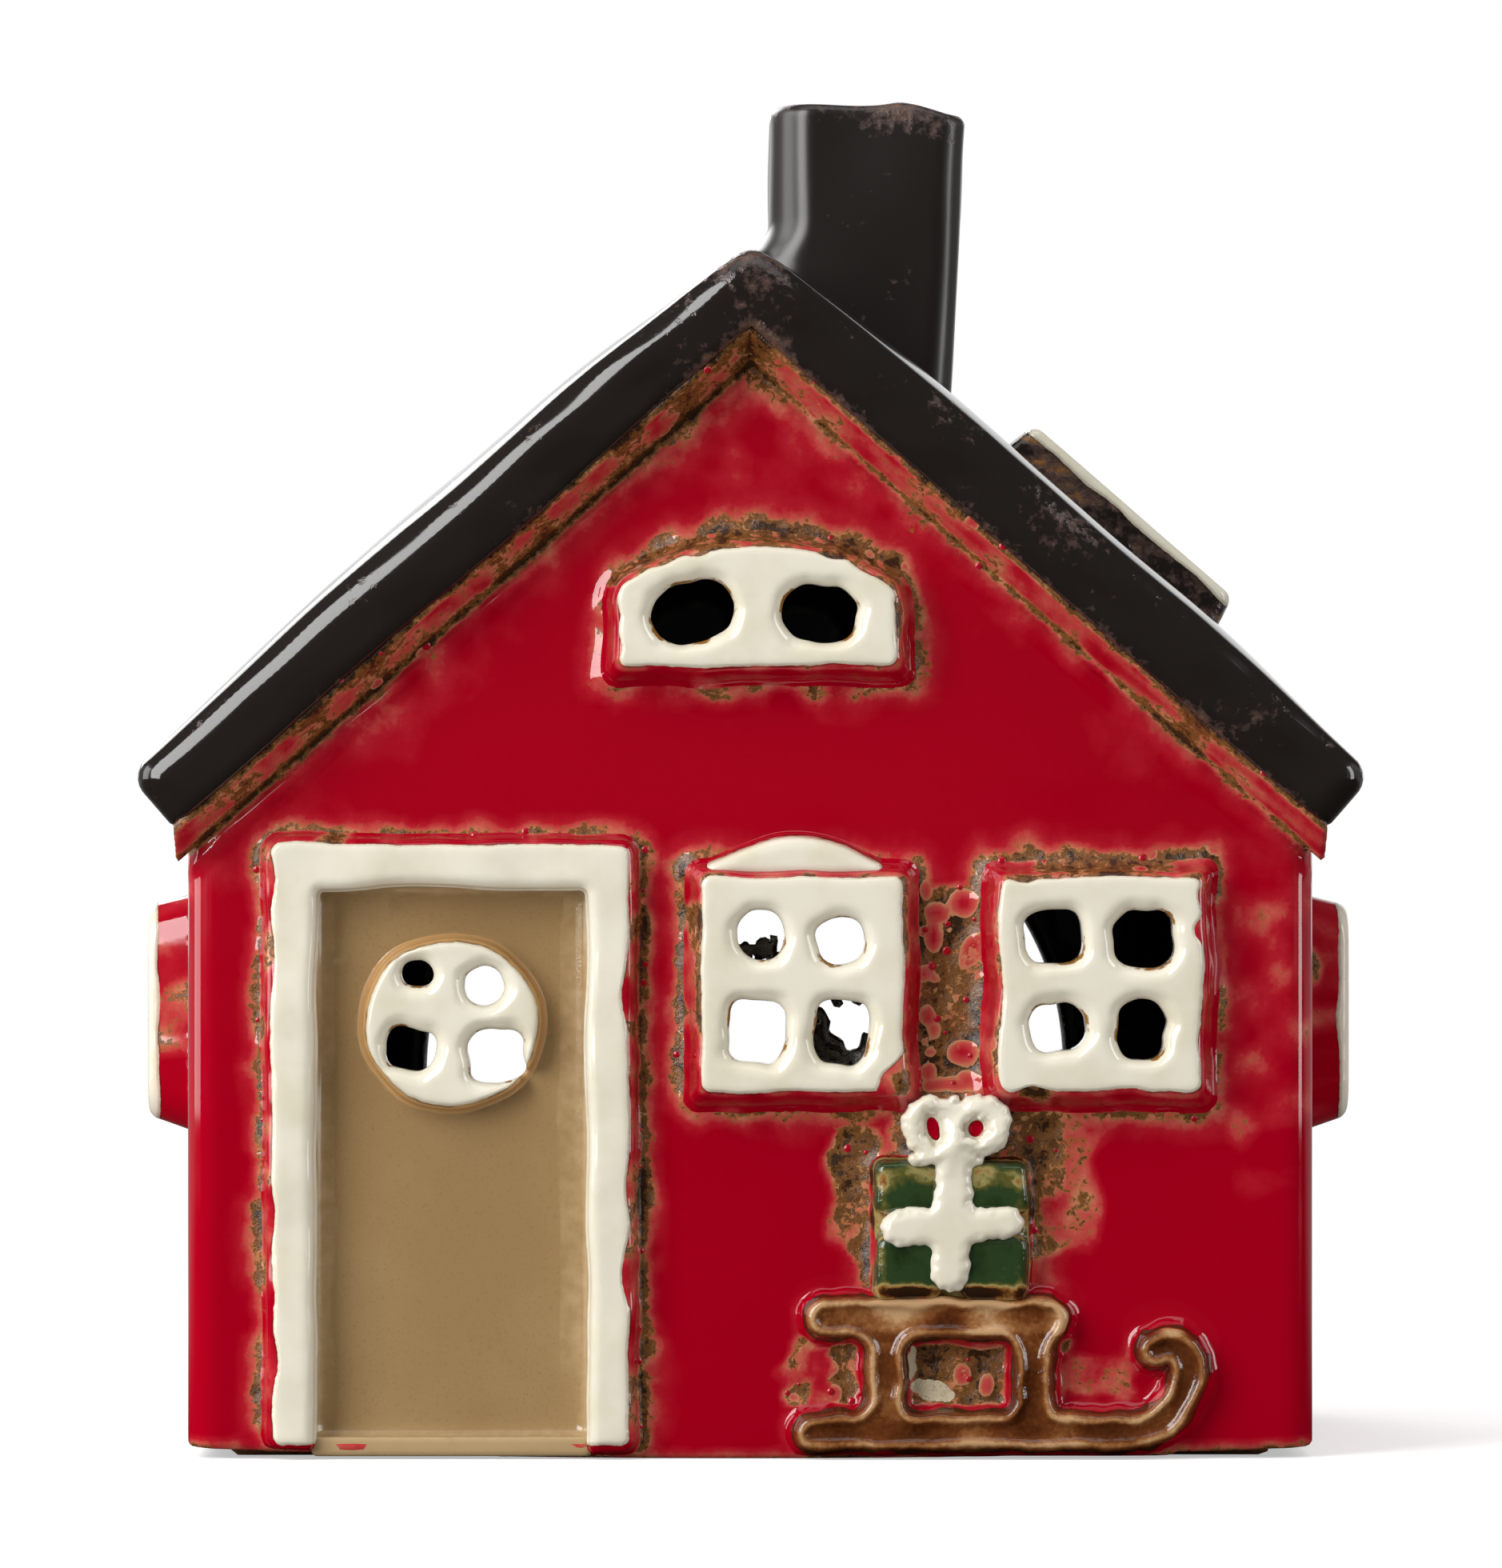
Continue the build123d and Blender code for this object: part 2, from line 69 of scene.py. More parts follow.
# House body, read from the frame
wall_top = corners("front_wall")[1]
roof_low, roof_high = corners("roof_right")
inner_ridge = wall_top[2]
eave_low_x = wall_top[0]
eave_low_z = roof_low[2]
roof_depth = roof_high[1] - roof_low[1]
pitch = math.atan2(inner_ridge - eave_low_z, eave_low_x)
pitch_sin = math.sin(pitch)
pitch_cos = math.cos(pitch)
pitch_tan = math.tan(pitch)

# House body, sizes that the frame's boxes don't tell
wall_thickness = 5.0
side_lap = 1.6
roof_thickness = 7.5
roof_overhang = 6.0
half_width = corners("right_side_window")[0][0]
half_depth = roof_high[1] - roof_overhang
inner_half_width = half_width - wall_thickness
inner_half_depth = half_depth - wall_thickness
side_reach = inner_half_depth + side_lap
wall_height = 67.7
foot_lift = corners("right_wall")[0][2]
ridge_height = inner_ridge + roof_thickness / pitch_cos
slope_length = (eave_low_x + roof_thickness * pitch_sin) / pitch_cos
corner_radius = 3.6
cove_height = 2.9
cove_reach = 5.0
arch_radius = 38.0
arch_height = 78.4

# Chimney and ridge
chimney_low, chimney_high = corners("chimney")
flue_x = 13.4
flue_y = (chimney_low[1] + chimney_high[1]) / 2
flue_half = 6.2
flue_radius = 1.5
ridge_softness = 1.9
slope_reach = slope_length * pitch_cos

# Reliefs
side_draft = 1.5
bottom_draft = 2.0
block_radius = 1.3
skirt_reach = 2.6
skirt_sink = 0.16
skirt_fillet = 0.9
skirt_foot = 1.0
door_recess = 2.0
window_proud = 4.6
side_window_proud = 6.0
roof_window_proud = 7.4
roof_window_size = (26.0, 30.0)
pane_radius = 0.3

# How much wider, in mm, a pane is cut in its wall, or in the door and the roof, than in its window
wall_pane_room = 0.25
slab_pane_room = 0.2

# Where most reliefs start, inside their wall
grid_foot = -1.4

# Distance that stands for nothing near
FAR = 9.0

# Waves that an unevenness is made of
wave_count = 7

# Rounds of clearing crossed corners of a grid
clear_rounds = 6

# Shares of a grid step: how far outside cleared corners and the grid's border lie, and how far a
# point may settle at once
cleared_share = 0.2
border_share = 0.3
settle_share = 0.5


class Patch:
    """A flat place on the house: where it starts, its two directions and the way it faces.

    A place on it is u across, v up and w out, in millimetres.
    """

    def __init__(self, origin, across, up, out):
        self.origin = np.array(origin, float)
        self.turn = np.array([across, up, out], float)

    def world(self, local):
        """Places on the patch in the frame's own directions."""
        return self.origin + local @ self.turn

    def local(self, point):
        """A place of the frame as it lies on the patch."""
        return (np.array(point, float) - self.origin) @ self.turn.T


front = Patch((0, -half_depth, 0), (1, 0, 0), (0, 0, 1), (0, -1, 0))
back = Patch((0, half_depth, 0), (-1, 0, 0), (0, 0, 1), (0, 1, 0))
left = Patch((-half_width, 0, 0), (0, -1, 0), (0, 0, 1), (-1, 0, 0))
right = Patch((half_width, 0, 0), (0, 1, 0), (0, 0, 1), (1, 0, 0))
slope_right = Patch(
    (0, 0, ridge_height), (0, 1, 0), (-pitch_cos, 0, pitch_sin), (pitch_sin, 0, pitch_cos)
)
upright = Patch((0, 0, 0), (1, 0, 0), (0, 1, 0), (0, 0, 1))


# Distances to shapes, in millimetres and negative inside

def nearest(*shapes):
    """Distance to the nearest of some shapes."""
    return reduce(np.minimum, shapes)


def shared(*shapes):
    """Distance to what some shapes share; also the most of some values."""
    return reduce(np.maximum, shapes)


def round_max(a, b, radius):
    """What two shapes share, with the edge between them rounded."""
    corner = np.hypot(np.maximum(a + radius, 0), np.maximum(b + radius, 0))
    return np.minimum(-radius, np.maximum(a, b)) + corner


def round_min(a, b, radius):
    """Two shapes together, with a fillet in the corner between them."""
    return -round_max(-a, -b, radius)


def ramp(value, start, end):
    """0 before start and 1 after end, with a smooth way between."""
    share = np.clip((value - start) / (end - start), 0, 1)
    return share * share * (3 - 2 * share)


def fading(distance, reach, power=2):
    """1 up to a border and less and less with the distance past it."""
    return np.exp(-((np.maximum(distance, 0) / reach) ** power))


def hump(offset, reach):
    """1 at no offset and less and less to both sides."""
    return np.exp(-((offset / reach) ** 2))


def box_2d(u, v, low_u, high_u, low_v, high_v, radius):
    """Distance to a rectangle with round corners."""
    du = np.abs(u - (low_u + high_u) / 2) - (high_u - low_u) / 2
    dv = np.abs(v - (low_v + high_v) / 2) - (high_v - low_v) / 2
    return round_max(du, dv, radius)


def oval_2d(u, v, middle_u, middle_v, half_u, half_v, tilt=0.0):
    """Distance to an ellipse that leans by tilt degrees."""
    turn = math.radians(tilt)
    du = (u - middle_u) * math.cos(turn) + (v - middle_v) * math.sin(turn)
    dv = (v - middle_v) * math.cos(turn) - (u - middle_u) * math.sin(turn)
    reach = np.hypot(du / half_u, dv / half_v)
    slope = np.hypot(du / half_u**2, dv / half_v**2) / np.maximum(reach, 1e-6)
    return (reach - 1) / np.maximum(slope, 1e-6)


def bar_2d(u, v, start, end, half):
    """Distance to a bar with round ends, between two points."""
    along = np.array(end, float) - np.array(start, float)
    length = max(float(along @ along), 1e-9)
    share = np.clip(((u - start[0]) * along[0] + (v - start[1]) * along[1]) / length, 0, 1)
    return np.hypot(u - start[0] - share * along[0], v - start[1] - share * along[1]) - half


def arc_2d(u, v, middle, radius, low_turn, high_turn, half):
    """Distance to a bar bent round a middle, between two angles in degrees."""
    centre_turn = math.radians((low_turn + high_turn) / 2)
    spread = math.radians((high_turn - low_turn) / 2)
    du, dv = u - middle[0], v - middle[1]
    along = du * math.cos(centre_turn) + dv * math.sin(centre_turn)
    side = np.abs(dv * math.cos(centre_turn) - du * math.sin(centre_turn))
    beyond = np.arctan2(side, along) > spread
    end_u, end_v = radius * math.cos(spread), radius * math.sin(spread)
    to_ring = np.abs(np.hypot(du, dv) - radius)
    to_end = np.hypot(along - end_u, side - end_v)
    return np.where(beyond, to_end, to_ring) - half


def ripple(u, v, length, seed):
    """An unevenness between about -1 and 1, in waves of about that length.

    The same seed always gives the same unevenness.
    """
    draw = np.random.default_rng(seed)
    total = 0.0
    for _ in range(wave_count):
        turn = draw.uniform(0, math.tau)
        pace = math.tau / (length * draw.uniform(0.7, 1.5))
        start = draw.uniform(0, math.tau)
        total = total + np.sin((u * math.cos(turn) + v * math.sin(turn)) * pace + start)
    return total / math.sqrt(wave_count)


class Chart:
    """A rule of two places that is worked out once on a grid and then read off."""

    def __init__(self, rule, low_u, high_u, low_v, high_v, step=0.3):
        self.start = (low_u, low_v)
        self.step = step
        u = np.arange(low_u, high_u + step, step)[:, None]
        v = np.arange(low_v, high_v + step, step)[None, :]
        self.values = np.array(np.broadcast_to(rule(u, v), (u.size, v.size)))

    def __call__(self, u, v):
        a = (u - self.start[0]) / self.step
        b = (v - self.start[1]) / self.step
        i = np.clip(np.floor(a).astype(int), 0, self.values.shape[0] - 2)
        j = np.clip(np.floor(b).astype(int), 0, self.values.shape[1] - 2)
        a, b = np.clip(a - i, 0, 1), np.clip(b - j, 0, 1)
        low = self.values[i, j] * (1 - a) + self.values[i + 1, j] * a
        high = self.values[i, j + 1] * (1 - a) + self.values[i + 1, j + 1] * a
        return low * (1 - b) + high * b


# Meshes from distances

def untangle(values, step):
    """Clear the corners of grid squares that are inside on one diagonal and outside on the other."""
    for _ in range(clear_rounds):
        found = 0
        for axis in range(3):
            views = []
            for first, second in ((0, 0), (1, 0), (1, 1), (0, 1)):
                part = [slice(None)] * 3
                part[(axis + 1) % 3] = slice(first, None if first else -1)
                part[(axis + 2) % 3] = slice(second, None if second else -1)
                views.append(values[tuple(part)])
            inside = [view < 0 for view in views]
            crossed = (inside[0] == inside[2]) & (inside[1] == inside[3]) & (inside[0] != inside[1])
            for view in views:
                view[crossed] = np.maximum(view[crossed], cleared_share * step)
            found += int(crossed.sum())
        if not found:
            return


def surface_net(field, low, high, step):
    """Points and quads where a field changes sign, on an even grid between two corners."""
    axes = [np.arange(a, b + step, step) for a, b in zip(low, high)]
    shape = tuple(len(axis) for axis in axes)
    grid = field(axes[0][:, None, None], axes[1][None, :, None], axes[2][None, None, :])
    values = np.array(np.broadcast_to(grid, shape))
    for axis in range(3):
        for end in (0, -1):
            side = [slice(None)] * 3
            side[axis] = end
            values[tuple(side)] = np.maximum(values[tuple(side)], border_share * step)
    untangle(values, step)
    cells = tuple(count - 1 for count in shape)
    total = int(np.prod(cells))
    sums = np.zeros((total, 3))
    hits = np.zeros(total)
    quads = []
    for axis in range(3):
        lower = [slice(None)] * 3
        upper = [slice(None)] * 3
        lower[axis] = slice(0, -1)
        upper[axis] = slice(1, None)
        near, far = values[tuple(lower)], values[tuple(upper)]
        found = np.argwhere((near < 0) != (far < 0))
        start, end = near[tuple(found.T)], far[tuple(found.T)]
        crossing = found.astype(float)
        crossing[:, axis] += start / (start - end)
        ring = []
        for shift in ((-1, -1), (0, -1), (0, 0), (-1, 0)):
            cell = found.copy()
            cell[:, (axis + 1) % 3] += shift[0]
            cell[:, (axis + 2) % 3] += shift[1]
            flat = np.ravel_multi_index(tuple(cell.T), cells)
            for k in range(3):
                sums[:, k] += np.bincount(flat, crossing[:, k], total)
            hits += np.bincount(flat, minlength=total)
            ring.append(flat)
        quad = np.stack(ring, 1)
        quad[start >= 0] = quad[start >= 0][:, ::-1]
        quads.append(quad)
    used = hits > 0
    number = np.cumsum(used) - 1
    points = sums[used] / hits[used][:, None] * step + np.array(low, float)
    return points, number[np.concatenate(quads)]


def settle(field, points, step):
    """Move points onto the surface that the field describes."""
    reach = 0.01
    for _ in range(2):
        value = field(*points.T)
        slope = np.empty_like(points)
        for axis in range(3):
            ahead = points.copy()
            ahead[:, axis] += reach
            slope[:, axis] = (field(*ahead.T) - value) / reach
        size = np.maximum((slope**2).sum(1), 0.2)
        move = slope * (value / size)[:, None]
        far = np.linalg.norm(move, axis=1)
        most = np.minimum(1, settle_share * step / np.maximum(far, 1e-9))
        points = points - move * most[:, None]
    return points


def make_piece(name, mesh, material, body, nodes):
    """Put a mesh into the scene as a piece that stands for some frame nodes."""
    piece = bpy.data.objects.new(name, mesh)
    bpy.context.scene.collection.objects.link(piece)
    mesh.materials.clear()
    mesh.materials.append(material)
    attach(piece, body)
    if nodes:
        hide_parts(*nodes)
    return piece


def mesh_from_quads(name, points, quads):
    """A smooth mesh from points in metres and rows of four corners."""
    mesh = bpy.data.meshes.new(name)
    mesh.vertices.add(len(points))
    mesh.vertices.foreach_set("co", points.astype(np.float32).ravel())
    mesh.loops.add(quads.size)
    mesh.loops.foreach_set("vertex_index", quads.astype(np.int32).ravel())
    mesh.polygons.add(len(quads))
    mesh.polygons.foreach_set("loop_start", np.arange(0, quads.size, 4, dtype=np.int32))
    mesh.polygons.foreach_set("use_smooth", np.ones(len(quads), bool))
    mesh.update(calc_edges=True)
    mesh.validate()
    return mesh


def sculpt(name, field, patch, low, high, step, marks, finish, nodes, slot, body=HOUSE):
    """A piece from a field on a patch, with a value of each mark at every point."""
    points, quads = surface_net(field, low, high, step)
    points = settle(field, points, step)
    mesh = mesh_from_quads(name, patch.world(points) * MM, quads)
    for mark, rule in marks.items():
        values = np.broadcast_to(rule(*points.T), len(points)).astype(np.float32)
        mesh.attributes.new(mark, "FLOAT", "POINT").data.foreach_set("value", values)
    return make_piece(name, mesh, glaze(finish), body, nodes)


# Places on the walls

def face_box(node, patch, drafts):
    """Left, right, bottom and top of a block's face on its patch, inside its drafts."""
    low, high = corners(node)
    a, b = patch.local(low), patch.local(high)
    side, bottom, top = drafts
    return (
        min(a[0], b[0]) + side, max(a[0], b[0]) - side,
        min(a[1], b[1]) + bottom, max(a[1], b[1]) - top,
    )


block_drafts = (side_draft, bottom_draft, side_draft)
right_face = face_box("right_window", front, block_drafts)
middle_face = face_box("middle_window", front, block_drafts)
attic_face = face_box("attic_window", front, block_drafts)
frame_face = face_box("door_frame", front, (0, 0, 0))
door_face = face_box("door_panel", front, (0, 0, 0))
round_face = face_box("round_window", front, (0, 0, 0))
hood_face = face_box("window_hood", front, (0, 0, 0))
sled_face = face_box("sled", front, (0, 0, 0))
gift_face = face_box("gift_box", front, (0.5, 0, 0))
side_face = face_box("right_side_window", right, block_drafts)
gift_x = (gift_face[0] + gift_face[1]) / 2
cross_z = gift_face[2] + 0.545 * (gift_face[3] - gift_face[2])
attic_shoulder = 9.0

# Panes of each window: across, up, width and height as shares of its face, roundness and tilt
right_pane_shares = (
    (-0.229, 0.220, 0.276, 0.241, 0.34, 4),
    (0.211, 0.208, 0.293, 0.265, 0.36, -4),
    (-0.211, -0.198, 0.276, 0.220, 0.40, 5),
    (0.200, -0.208, 0.236, 0.273, 0.42, -6),
)
middle_pane_shares = (
    (-0.202, 0.225, 0.230, 0.225, 0.46, 0),
    (0.185, 0.200, 0.239, 0.217, 0.50, 8),
    (-0.220, -0.217, 0.274, 0.283, 0.28, -4),
    (0.191, -0.221, 0.261, 0.292, 0.32, -8),
)
round_pane_shares = (
    (-0.190, 0.286, 0.166, 0.160, 0.50, 0),
    (0.176, 0.214, 0.215, 0.222, 0.46, 20),
    (-0.224, -0.144, 0.263, 0.237, 0.30, -12),
    (0.241, -0.188, 0.298, 0.304, 0.30, 6),
)
attic_pane_shares = (
    (-0.232, -0.047, 0.288, 0.471, 0.46, 16),
    (0.219, -0.058, 0.262, 0.449, 0.44, -4),
)
plain_pane_shares = (
    (-0.215, 0.212, 0.270, 0.250, 0.42, 5),
    (0.215, 0.212, 0.270, 0.250, 0.40, -6),
    (-0.215, -0.212, 0.270, 0.250, 0.36, -5),
    (0.215, -0.212, 0.270, 0.250, 0.42, 4),
)


def middle_of(face):
    """The middle of a face and its half sizes."""
    return (
        (face[0] + face[1]) / 2, (face[2] + face[3]) / 2,
        (face[1] - face[0]) / 2, (face[3] - face[2]) / 2,
    )


def pane_field(u, v, face, shares):
    """Distance to the nearest pane of a window."""
    width, height = face[1] - face[0], face[3] - face[2]
    middle_u, middle_v = middle_of(face)[:2]
    panes = []
    for across, up, wide, high, roundness, tilt in shares:
        turn = math.radians(tilt)
        du, dv = u - middle_u - across * width, v - middle_v - up * height
        along = du * math.cos(turn) + dv * math.sin(turn)
        rise = dv * math.cos(turn) - du * math.sin(turn)
        half_u, half_v = wide * width / 2, high * height / 2
        radius = roundness * 2 * min(half_u, half_v)
        panes.append(box_2d(along, rise, -half_u, half_u, -half_v, half_v, radius))
    return nearest(*panes) + 0.12 * ripple(u, v, 3.5, 71)


def block_outline(face, u, v, lean, radius=block_radius, waves=1.0):
    """Distance to a square window's outline; lean is 0 at its face and 1 at the wall."""
    low_u, high_u = face[0] - side_draft * lean, face[1] + side_draft * lean
    low_v, high_v = face[2] - bottom_draft * lean, face[3] + side_draft * lean
    uneven = 0.15 * ripple(u, v, 11, 11) + 0.03 * ripple(u, v, 4, 12)
    return box_2d(u, v, low_u, high_u, low_v, high_v, radius) + waves * uneven


def attic_outline(u, v, lean):
    """Distance to the attic window's arched outline; lean is 0 at its face and 1 at the wall."""
    low_u, high_u, low_v, high_v = attic_face
    half = (high_u - low_u) / 2 + side_draft * lean
    du = u - (low_u + high_u) / 2
    head = high_v + side_draft * lean
    rise = head - low_v - attic_shoulder
    arc = (half**2 + rise**2) / (2 * rise)
    over = np.hypot(du, v - head + arc) - arc
    sides = round_max(np.abs(du) - half, low_v - bottom_draft * lean - v, block_radius)
    uneven = 0.18 * ripple(u, v, 12, 13) + 0.03 * ripple(u, v, 4, 14)
    return round_max(sides, over, block_radius) + uneven


def frame_outline(u, v):
    """Distance to the door frame's outer outline."""
    uneven = 0.24 * ripple(u, v, 22, 15) + 0.05 * ripple(u, v, 6, 16)
    return box_2d(u, v, *frame_face, 1.6) + uneven


def door_opening(u, v):
    """Distance to the doorway inside the frame, which is open at its foot."""
    uneven = 0.2 * ripple(u, v, 18, 17) + 0.05 * ripple(u, v, 6, 18)
    return box_2d(u, v, door_face[0], door_face[1], -door_face[3], door_face[3], 1.0) + uneven


# Sled and gift, in front wall places
runner_half = 1.9
curl_radius = 7.0
tip_radius = 2.43
seat_half = 2.15
post_half = 2.0
runner_z = sled_face[2] + runner_half
curl_middle = (sled_face[1] - runner_half - curl_radius, runner_z + curl_radius)
seat_z = gift_face[2] - seat_half
seat_x = gift_x - 1.5
seat_reach = 14.45 - seat_half
post_x = gift_x + 0.9
post_apart = 8.2


def sled_outline(u, v):
    """Distance to the sled: runner, curl, tip, seat and posts."""
    toe = (sled_face[0] + runner_half, runner_z)
    runner = bar_2d(u, v, toe, (curl_middle[0], runner_z), runner_half)
    curl = arc_2d(u, v, curl_middle, curl_radius, -90, 0, runner_half)
    tip_middle = (curl_middle[0] + curl_radius - tip_radius, curl_middle[1])
    tip = arc_2d(u, v, tip_middle, tip_radius, 0, 120, runner_half)
    seat = bar_2d(u, v, (seat_x - seat_reach, seat_z), (seat_x + seat_reach, seat_z), seat_half)
    shape = round_min(nearest(runner, curl, tip), seat, 0.6)
    for side in (-1, 1):
        x = post_x + side * post_apart
        post = box_2d(u, v, x - post_half, x + post_half, runner_z, seat_z, 0.2)
        shape = round_min(shape, post, 1.9)
    return shape + 0.13 * ripple(u, v, 6, 21) + 0.05 * ripple(u, v, 2.2, 22)


def gift_outline(u, v):
    """Distance to the gift box."""
    uneven = 0.12 * ripple(u, v, 7, 23)
    return box_2d(u, v, *gift_face, 0.9) + uneven


def bow_outline(u, v):
    """Distance to the bow: two loops with an eye each, the knot and two short tails."""
    x, z = gift_x, gift_face[3]
    loops = round_min(
        oval_2d(u, v, x - 2.3, z + 4.0, 3.2, 3.6, 18),
        oval_2d(u, v, x + 3.3, z + 4.3, 3.35, 3.5, -30),
        0.8,
    )
    knot = bar_2d(u, v, (x - 0.1, z + 5.6), (x + 0.2, z - 0.6), 1.5)
    crown = bar_2d(u, v, (x + 0.1, z + 6.4), (x + 0.3, z + 7.0), 0.6)
    tail = bar_2d(u, v, (x - 1.0, z + 1.1), (x - 3.9, z + 0.4), 0.8)
    other = bar_2d(u, v, (x + 1.2, z + 1.0), (x + 3.2, z + 0.2), 0.5)
    shape = round_min(np.minimum(round_min(loops, knot, 0.7), crown), np.minimum(tail, other), 0.4)
    ragged = 0.09 * ripple(u, v, 3.2, 24) + 0.09 * ripple(u, v, 1.1, 25)
    return round_max(shape + ragged, -bow_eyes(u, v) - 1.6 * ragged, 0.3)


def bow_eyes(u, v):
    """Distance to the openings of the bow's two loops."""
    x, z = gift_x, gift_face[3]
    return np.minimum(
        oval_2d(u, v, x - 2.0, z + 3.9, 0.9, 1.6, 14),
        oval_2d(u, v, x + 2.7, z + 3.9, 1.1, 1.2, -30),
    )


def ribbon_outline(u, v):
    """Distance to the ribbon's cross on the gift."""
    x, low, high = gift_x, gift_face[2], gift_face[3]
    down = bar_2d(u, v, (x + 0.3, high + 0.5), (x - 0.2, low + 2.9), 2.15)
    left_arm = bar_2d(u, v, (x - 5.6, cross_z - 0.2), (x, cross_z), 2.15)
    right_arm = bar_2d(u, v, (x, cross_z - 0.1), (x + 6.1, cross_z + 0.3), 1.85)
    ragged = 0.12 * ripple(u, v, 3.6, 26) + 0.1 * ripple(u, v, 1.2, 27)
    return round_min(round_min(down, left_arm, 0.8), right_arm, 0.8) + ragged


# Where the red glaze has drawn back

def halo(u, v, outline, crust, fade, weights):
    """How bare the glaze is round an outline; weights are for left, right, bottom and top."""
    step = 0.35
    distance = outline(u, v)
    slope_u = outline(u + step, v) - outline(u - step, v)
    slope_v = outline(u, v + step) - outline(u, v - step)
    size = np.maximum(slope_u**2 + slope_v**2, 1e-6)
    low_u, high_u, low_v, high_v = weights
    weight = (
        np.where(slope_u > 0, high_u, low_u) * slope_u**2
        + np.where(slope_v > 0, high_v, low_v) * slope_v**2
    ) / size
    near = fading(distance - 0.3, crust)
    near = near * (1 + 0.3 * ripple(u, v, 4.5, 36))
    far = fading(distance, fade, 1.3)
    return weight * (0.42 * near + 0.58 * far)


def rake_drop(u, v):
    """How far a place on a gable lies under the roof's slabs, square to the slope."""
    return (inner_ridge - v) * pitch_cos - np.abs(u) * pitch_sin


def foot_of(face):
    """A square window's outline where it meets its wall."""
    return lambda u, v: block_outline(face, u, v, 1)


def attic_foot(u, v):
    """The attic window's outline where it meets the wall."""
    return attic_outline(u, v, 1)


# Outlines on the front wall, each with how far the crust and the thin glaze reach beside it, in
# mm, and how bare it is at its left, right, bottom and top
front_halos = (
    (attic_foot, 1.5, 4.2, (0.72, 0.9, 0.66, 1.0)),
    (foot_of(middle_face), 1.2, 4.0, (0.98, 0.96, 0.78, 0.84)),
    (foot_of(right_face), 1.3, 4.0, (0.94, 0.72, 0.84, 1.0)),
    (frame_outline, 1.7, 3.2, (1.04, 1.26, 0.5, 0.94)),
    (gift_outline, 1.9, 4.6, (1.0, 0.9, 0.7, 0.8)),
    (bow_outline, 1.6, 4.2, (0.96, 0.96, 0.8, 0.6)),
    (sled_outline, 0.8, 2.4, (0.8, 0.5, 0.36, 0.45)),
)

# Patches of crust beside the gift: left, right, bottom, top and how bare
crust_patches = (
    (gift_face[0] - 4.4, gift_face[0], gift_face[2] + 3.5, gift_face[3] + 4.5, 0.94),
    (gift_face[1], gift_face[1] + 3.6, gift_face[2] + 10, gift_face[3] + 6, 0.92),
    (gift_face[1], gift_face[1] + 8.0, gift_face[2] + 5, gift_face[3] + 4, 0.6),
)

# Spots of crust beside the sled: place in mm from its posts' middle and its seat, half sizes,
# tilt and how bare
crust_spots = (
    (-12.4, -5.9, 2.0, 4.2, 0, 1.08), (-15.3, -6.1, 4.4, 4.2, 0, 0.64),
    (-17.8, -8.3, 2.2, 0.9, 38, 1.04), (-14.6, -2.4, 2.2, 0.7, 25, 1.0),
    (14.8, -6.6, 4.8, 2.2, -8, 0.6), (11.2, -2.8, 1.1, 0.9, 40, 1.04),
    (10.8, -7.4, 1.1, 2.4, 0, 0.7),
)

# Lumps of crust that half close two panes of the middle window, painted near black as shade: shares
# of it, then mm
pane_crud = (
    (-0.212, 0.152, 2.1, 0.8, -16), (-0.18, 0.2, 0.5, 1.0, 12), (-0.125, 0.178, 0.65, 1.3, 8),
    (0.095, -0.23, 1.15, 2.9, 4), (0.2, -0.343, 2.8, 0.95, 3), (0.30, -0.29, 0.6, 1.6, -6),
    (0.15, -0.285, 1.1, 1.5, 30), (0.2, -0.085, 2.0, 0.35, 0),
)

# Red pools that stay in the crust between two windows: place in the gap as shares, size in mm
gap_pools = (
    (0.31, 0.766, 1.06, 1.9, 0), (0.35, 0.88, 1.6, 1.2, -20), (0.64, 0.93, 1.7, 1.7, 0),
    (0.72, 0.70, 1.25, 2.2, -25), (0.86, 0.72, 0.7, 2.0, 0), (0.22, 0.59, 1.2, 1.0, 15),
    (0.33, 0.57, 0.7, 0.6, 0), (0.25, 0.39, 0.95, 1.4, 20), (0.32, 0.32, 0.9, 1.0, 10),
    (0.63, 0.21, 1.85, 1.5, 0), (0.28, 0.21, 0.7, 0.57, 0), (0.26, 0.12, 1.0, 1.2, 0),
    (0.56, 0.47, 0.6, 0.6, 0), (0.48, 0.796, 0.45, 0.45, 0), (0.21, 0.264, 0.45, 0.45, 0),
    (0.23, 0.99, 0.8, 1.2, 0), (0.74, 0.07, 2.0, 1.0, -30), (0.95, 0.6, 0.7, 0.9, 0),
    (0.93, 0.49, 0.7, 0.9, 0), (0.95, 0.38, 0.7, 0.9, 0), (0.92, 0.26, 0.7, 1.0, 0),
)

# Red pools beside the sled: place in mm from its posts' middle and its seat, half sizes
sled_pools = (
    (-15.6, -5.8, 2.3, 1.4), (-13.9, -8.5, 1.1, 1.1), (-17.0, -3.9, 0.9, 0.7),
    (0.4, -6.4, 1.1, 1.2), (3.1, -7.6, 0.9, 1.3), (3.4, -10.2, 1.6, 0.8), (2.6, -2.9, 2.3, 0.7),
)


def gap_box():
    """Left, right, bottom and top of the gap between the two windows of the front wall."""
    return middle_face[1], right_face[0], right_face[2] - 0.5, middle_face[3] - 1.5


def ovals_in(u, v, low_u, high_u, low_v, high_v, rows):
    """Distances to ovals, placed as shares of a box; rows are across, up, half sizes and tilt."""
    return [
        oval_2d(u, v, low_u + across * (high_u - low_u), low_v + up * (high_v - low_v), *shape)
        for across, up, *shape in rows
    ]


def ovals_at(u, v, x, z, rows):
    """Distances to ovals, placed in mm from a point; rows are across, up, half sizes and tilt."""
    return [oval_2d(u, v, x + across, z + up, *shape) for across, up, *shape in rows]


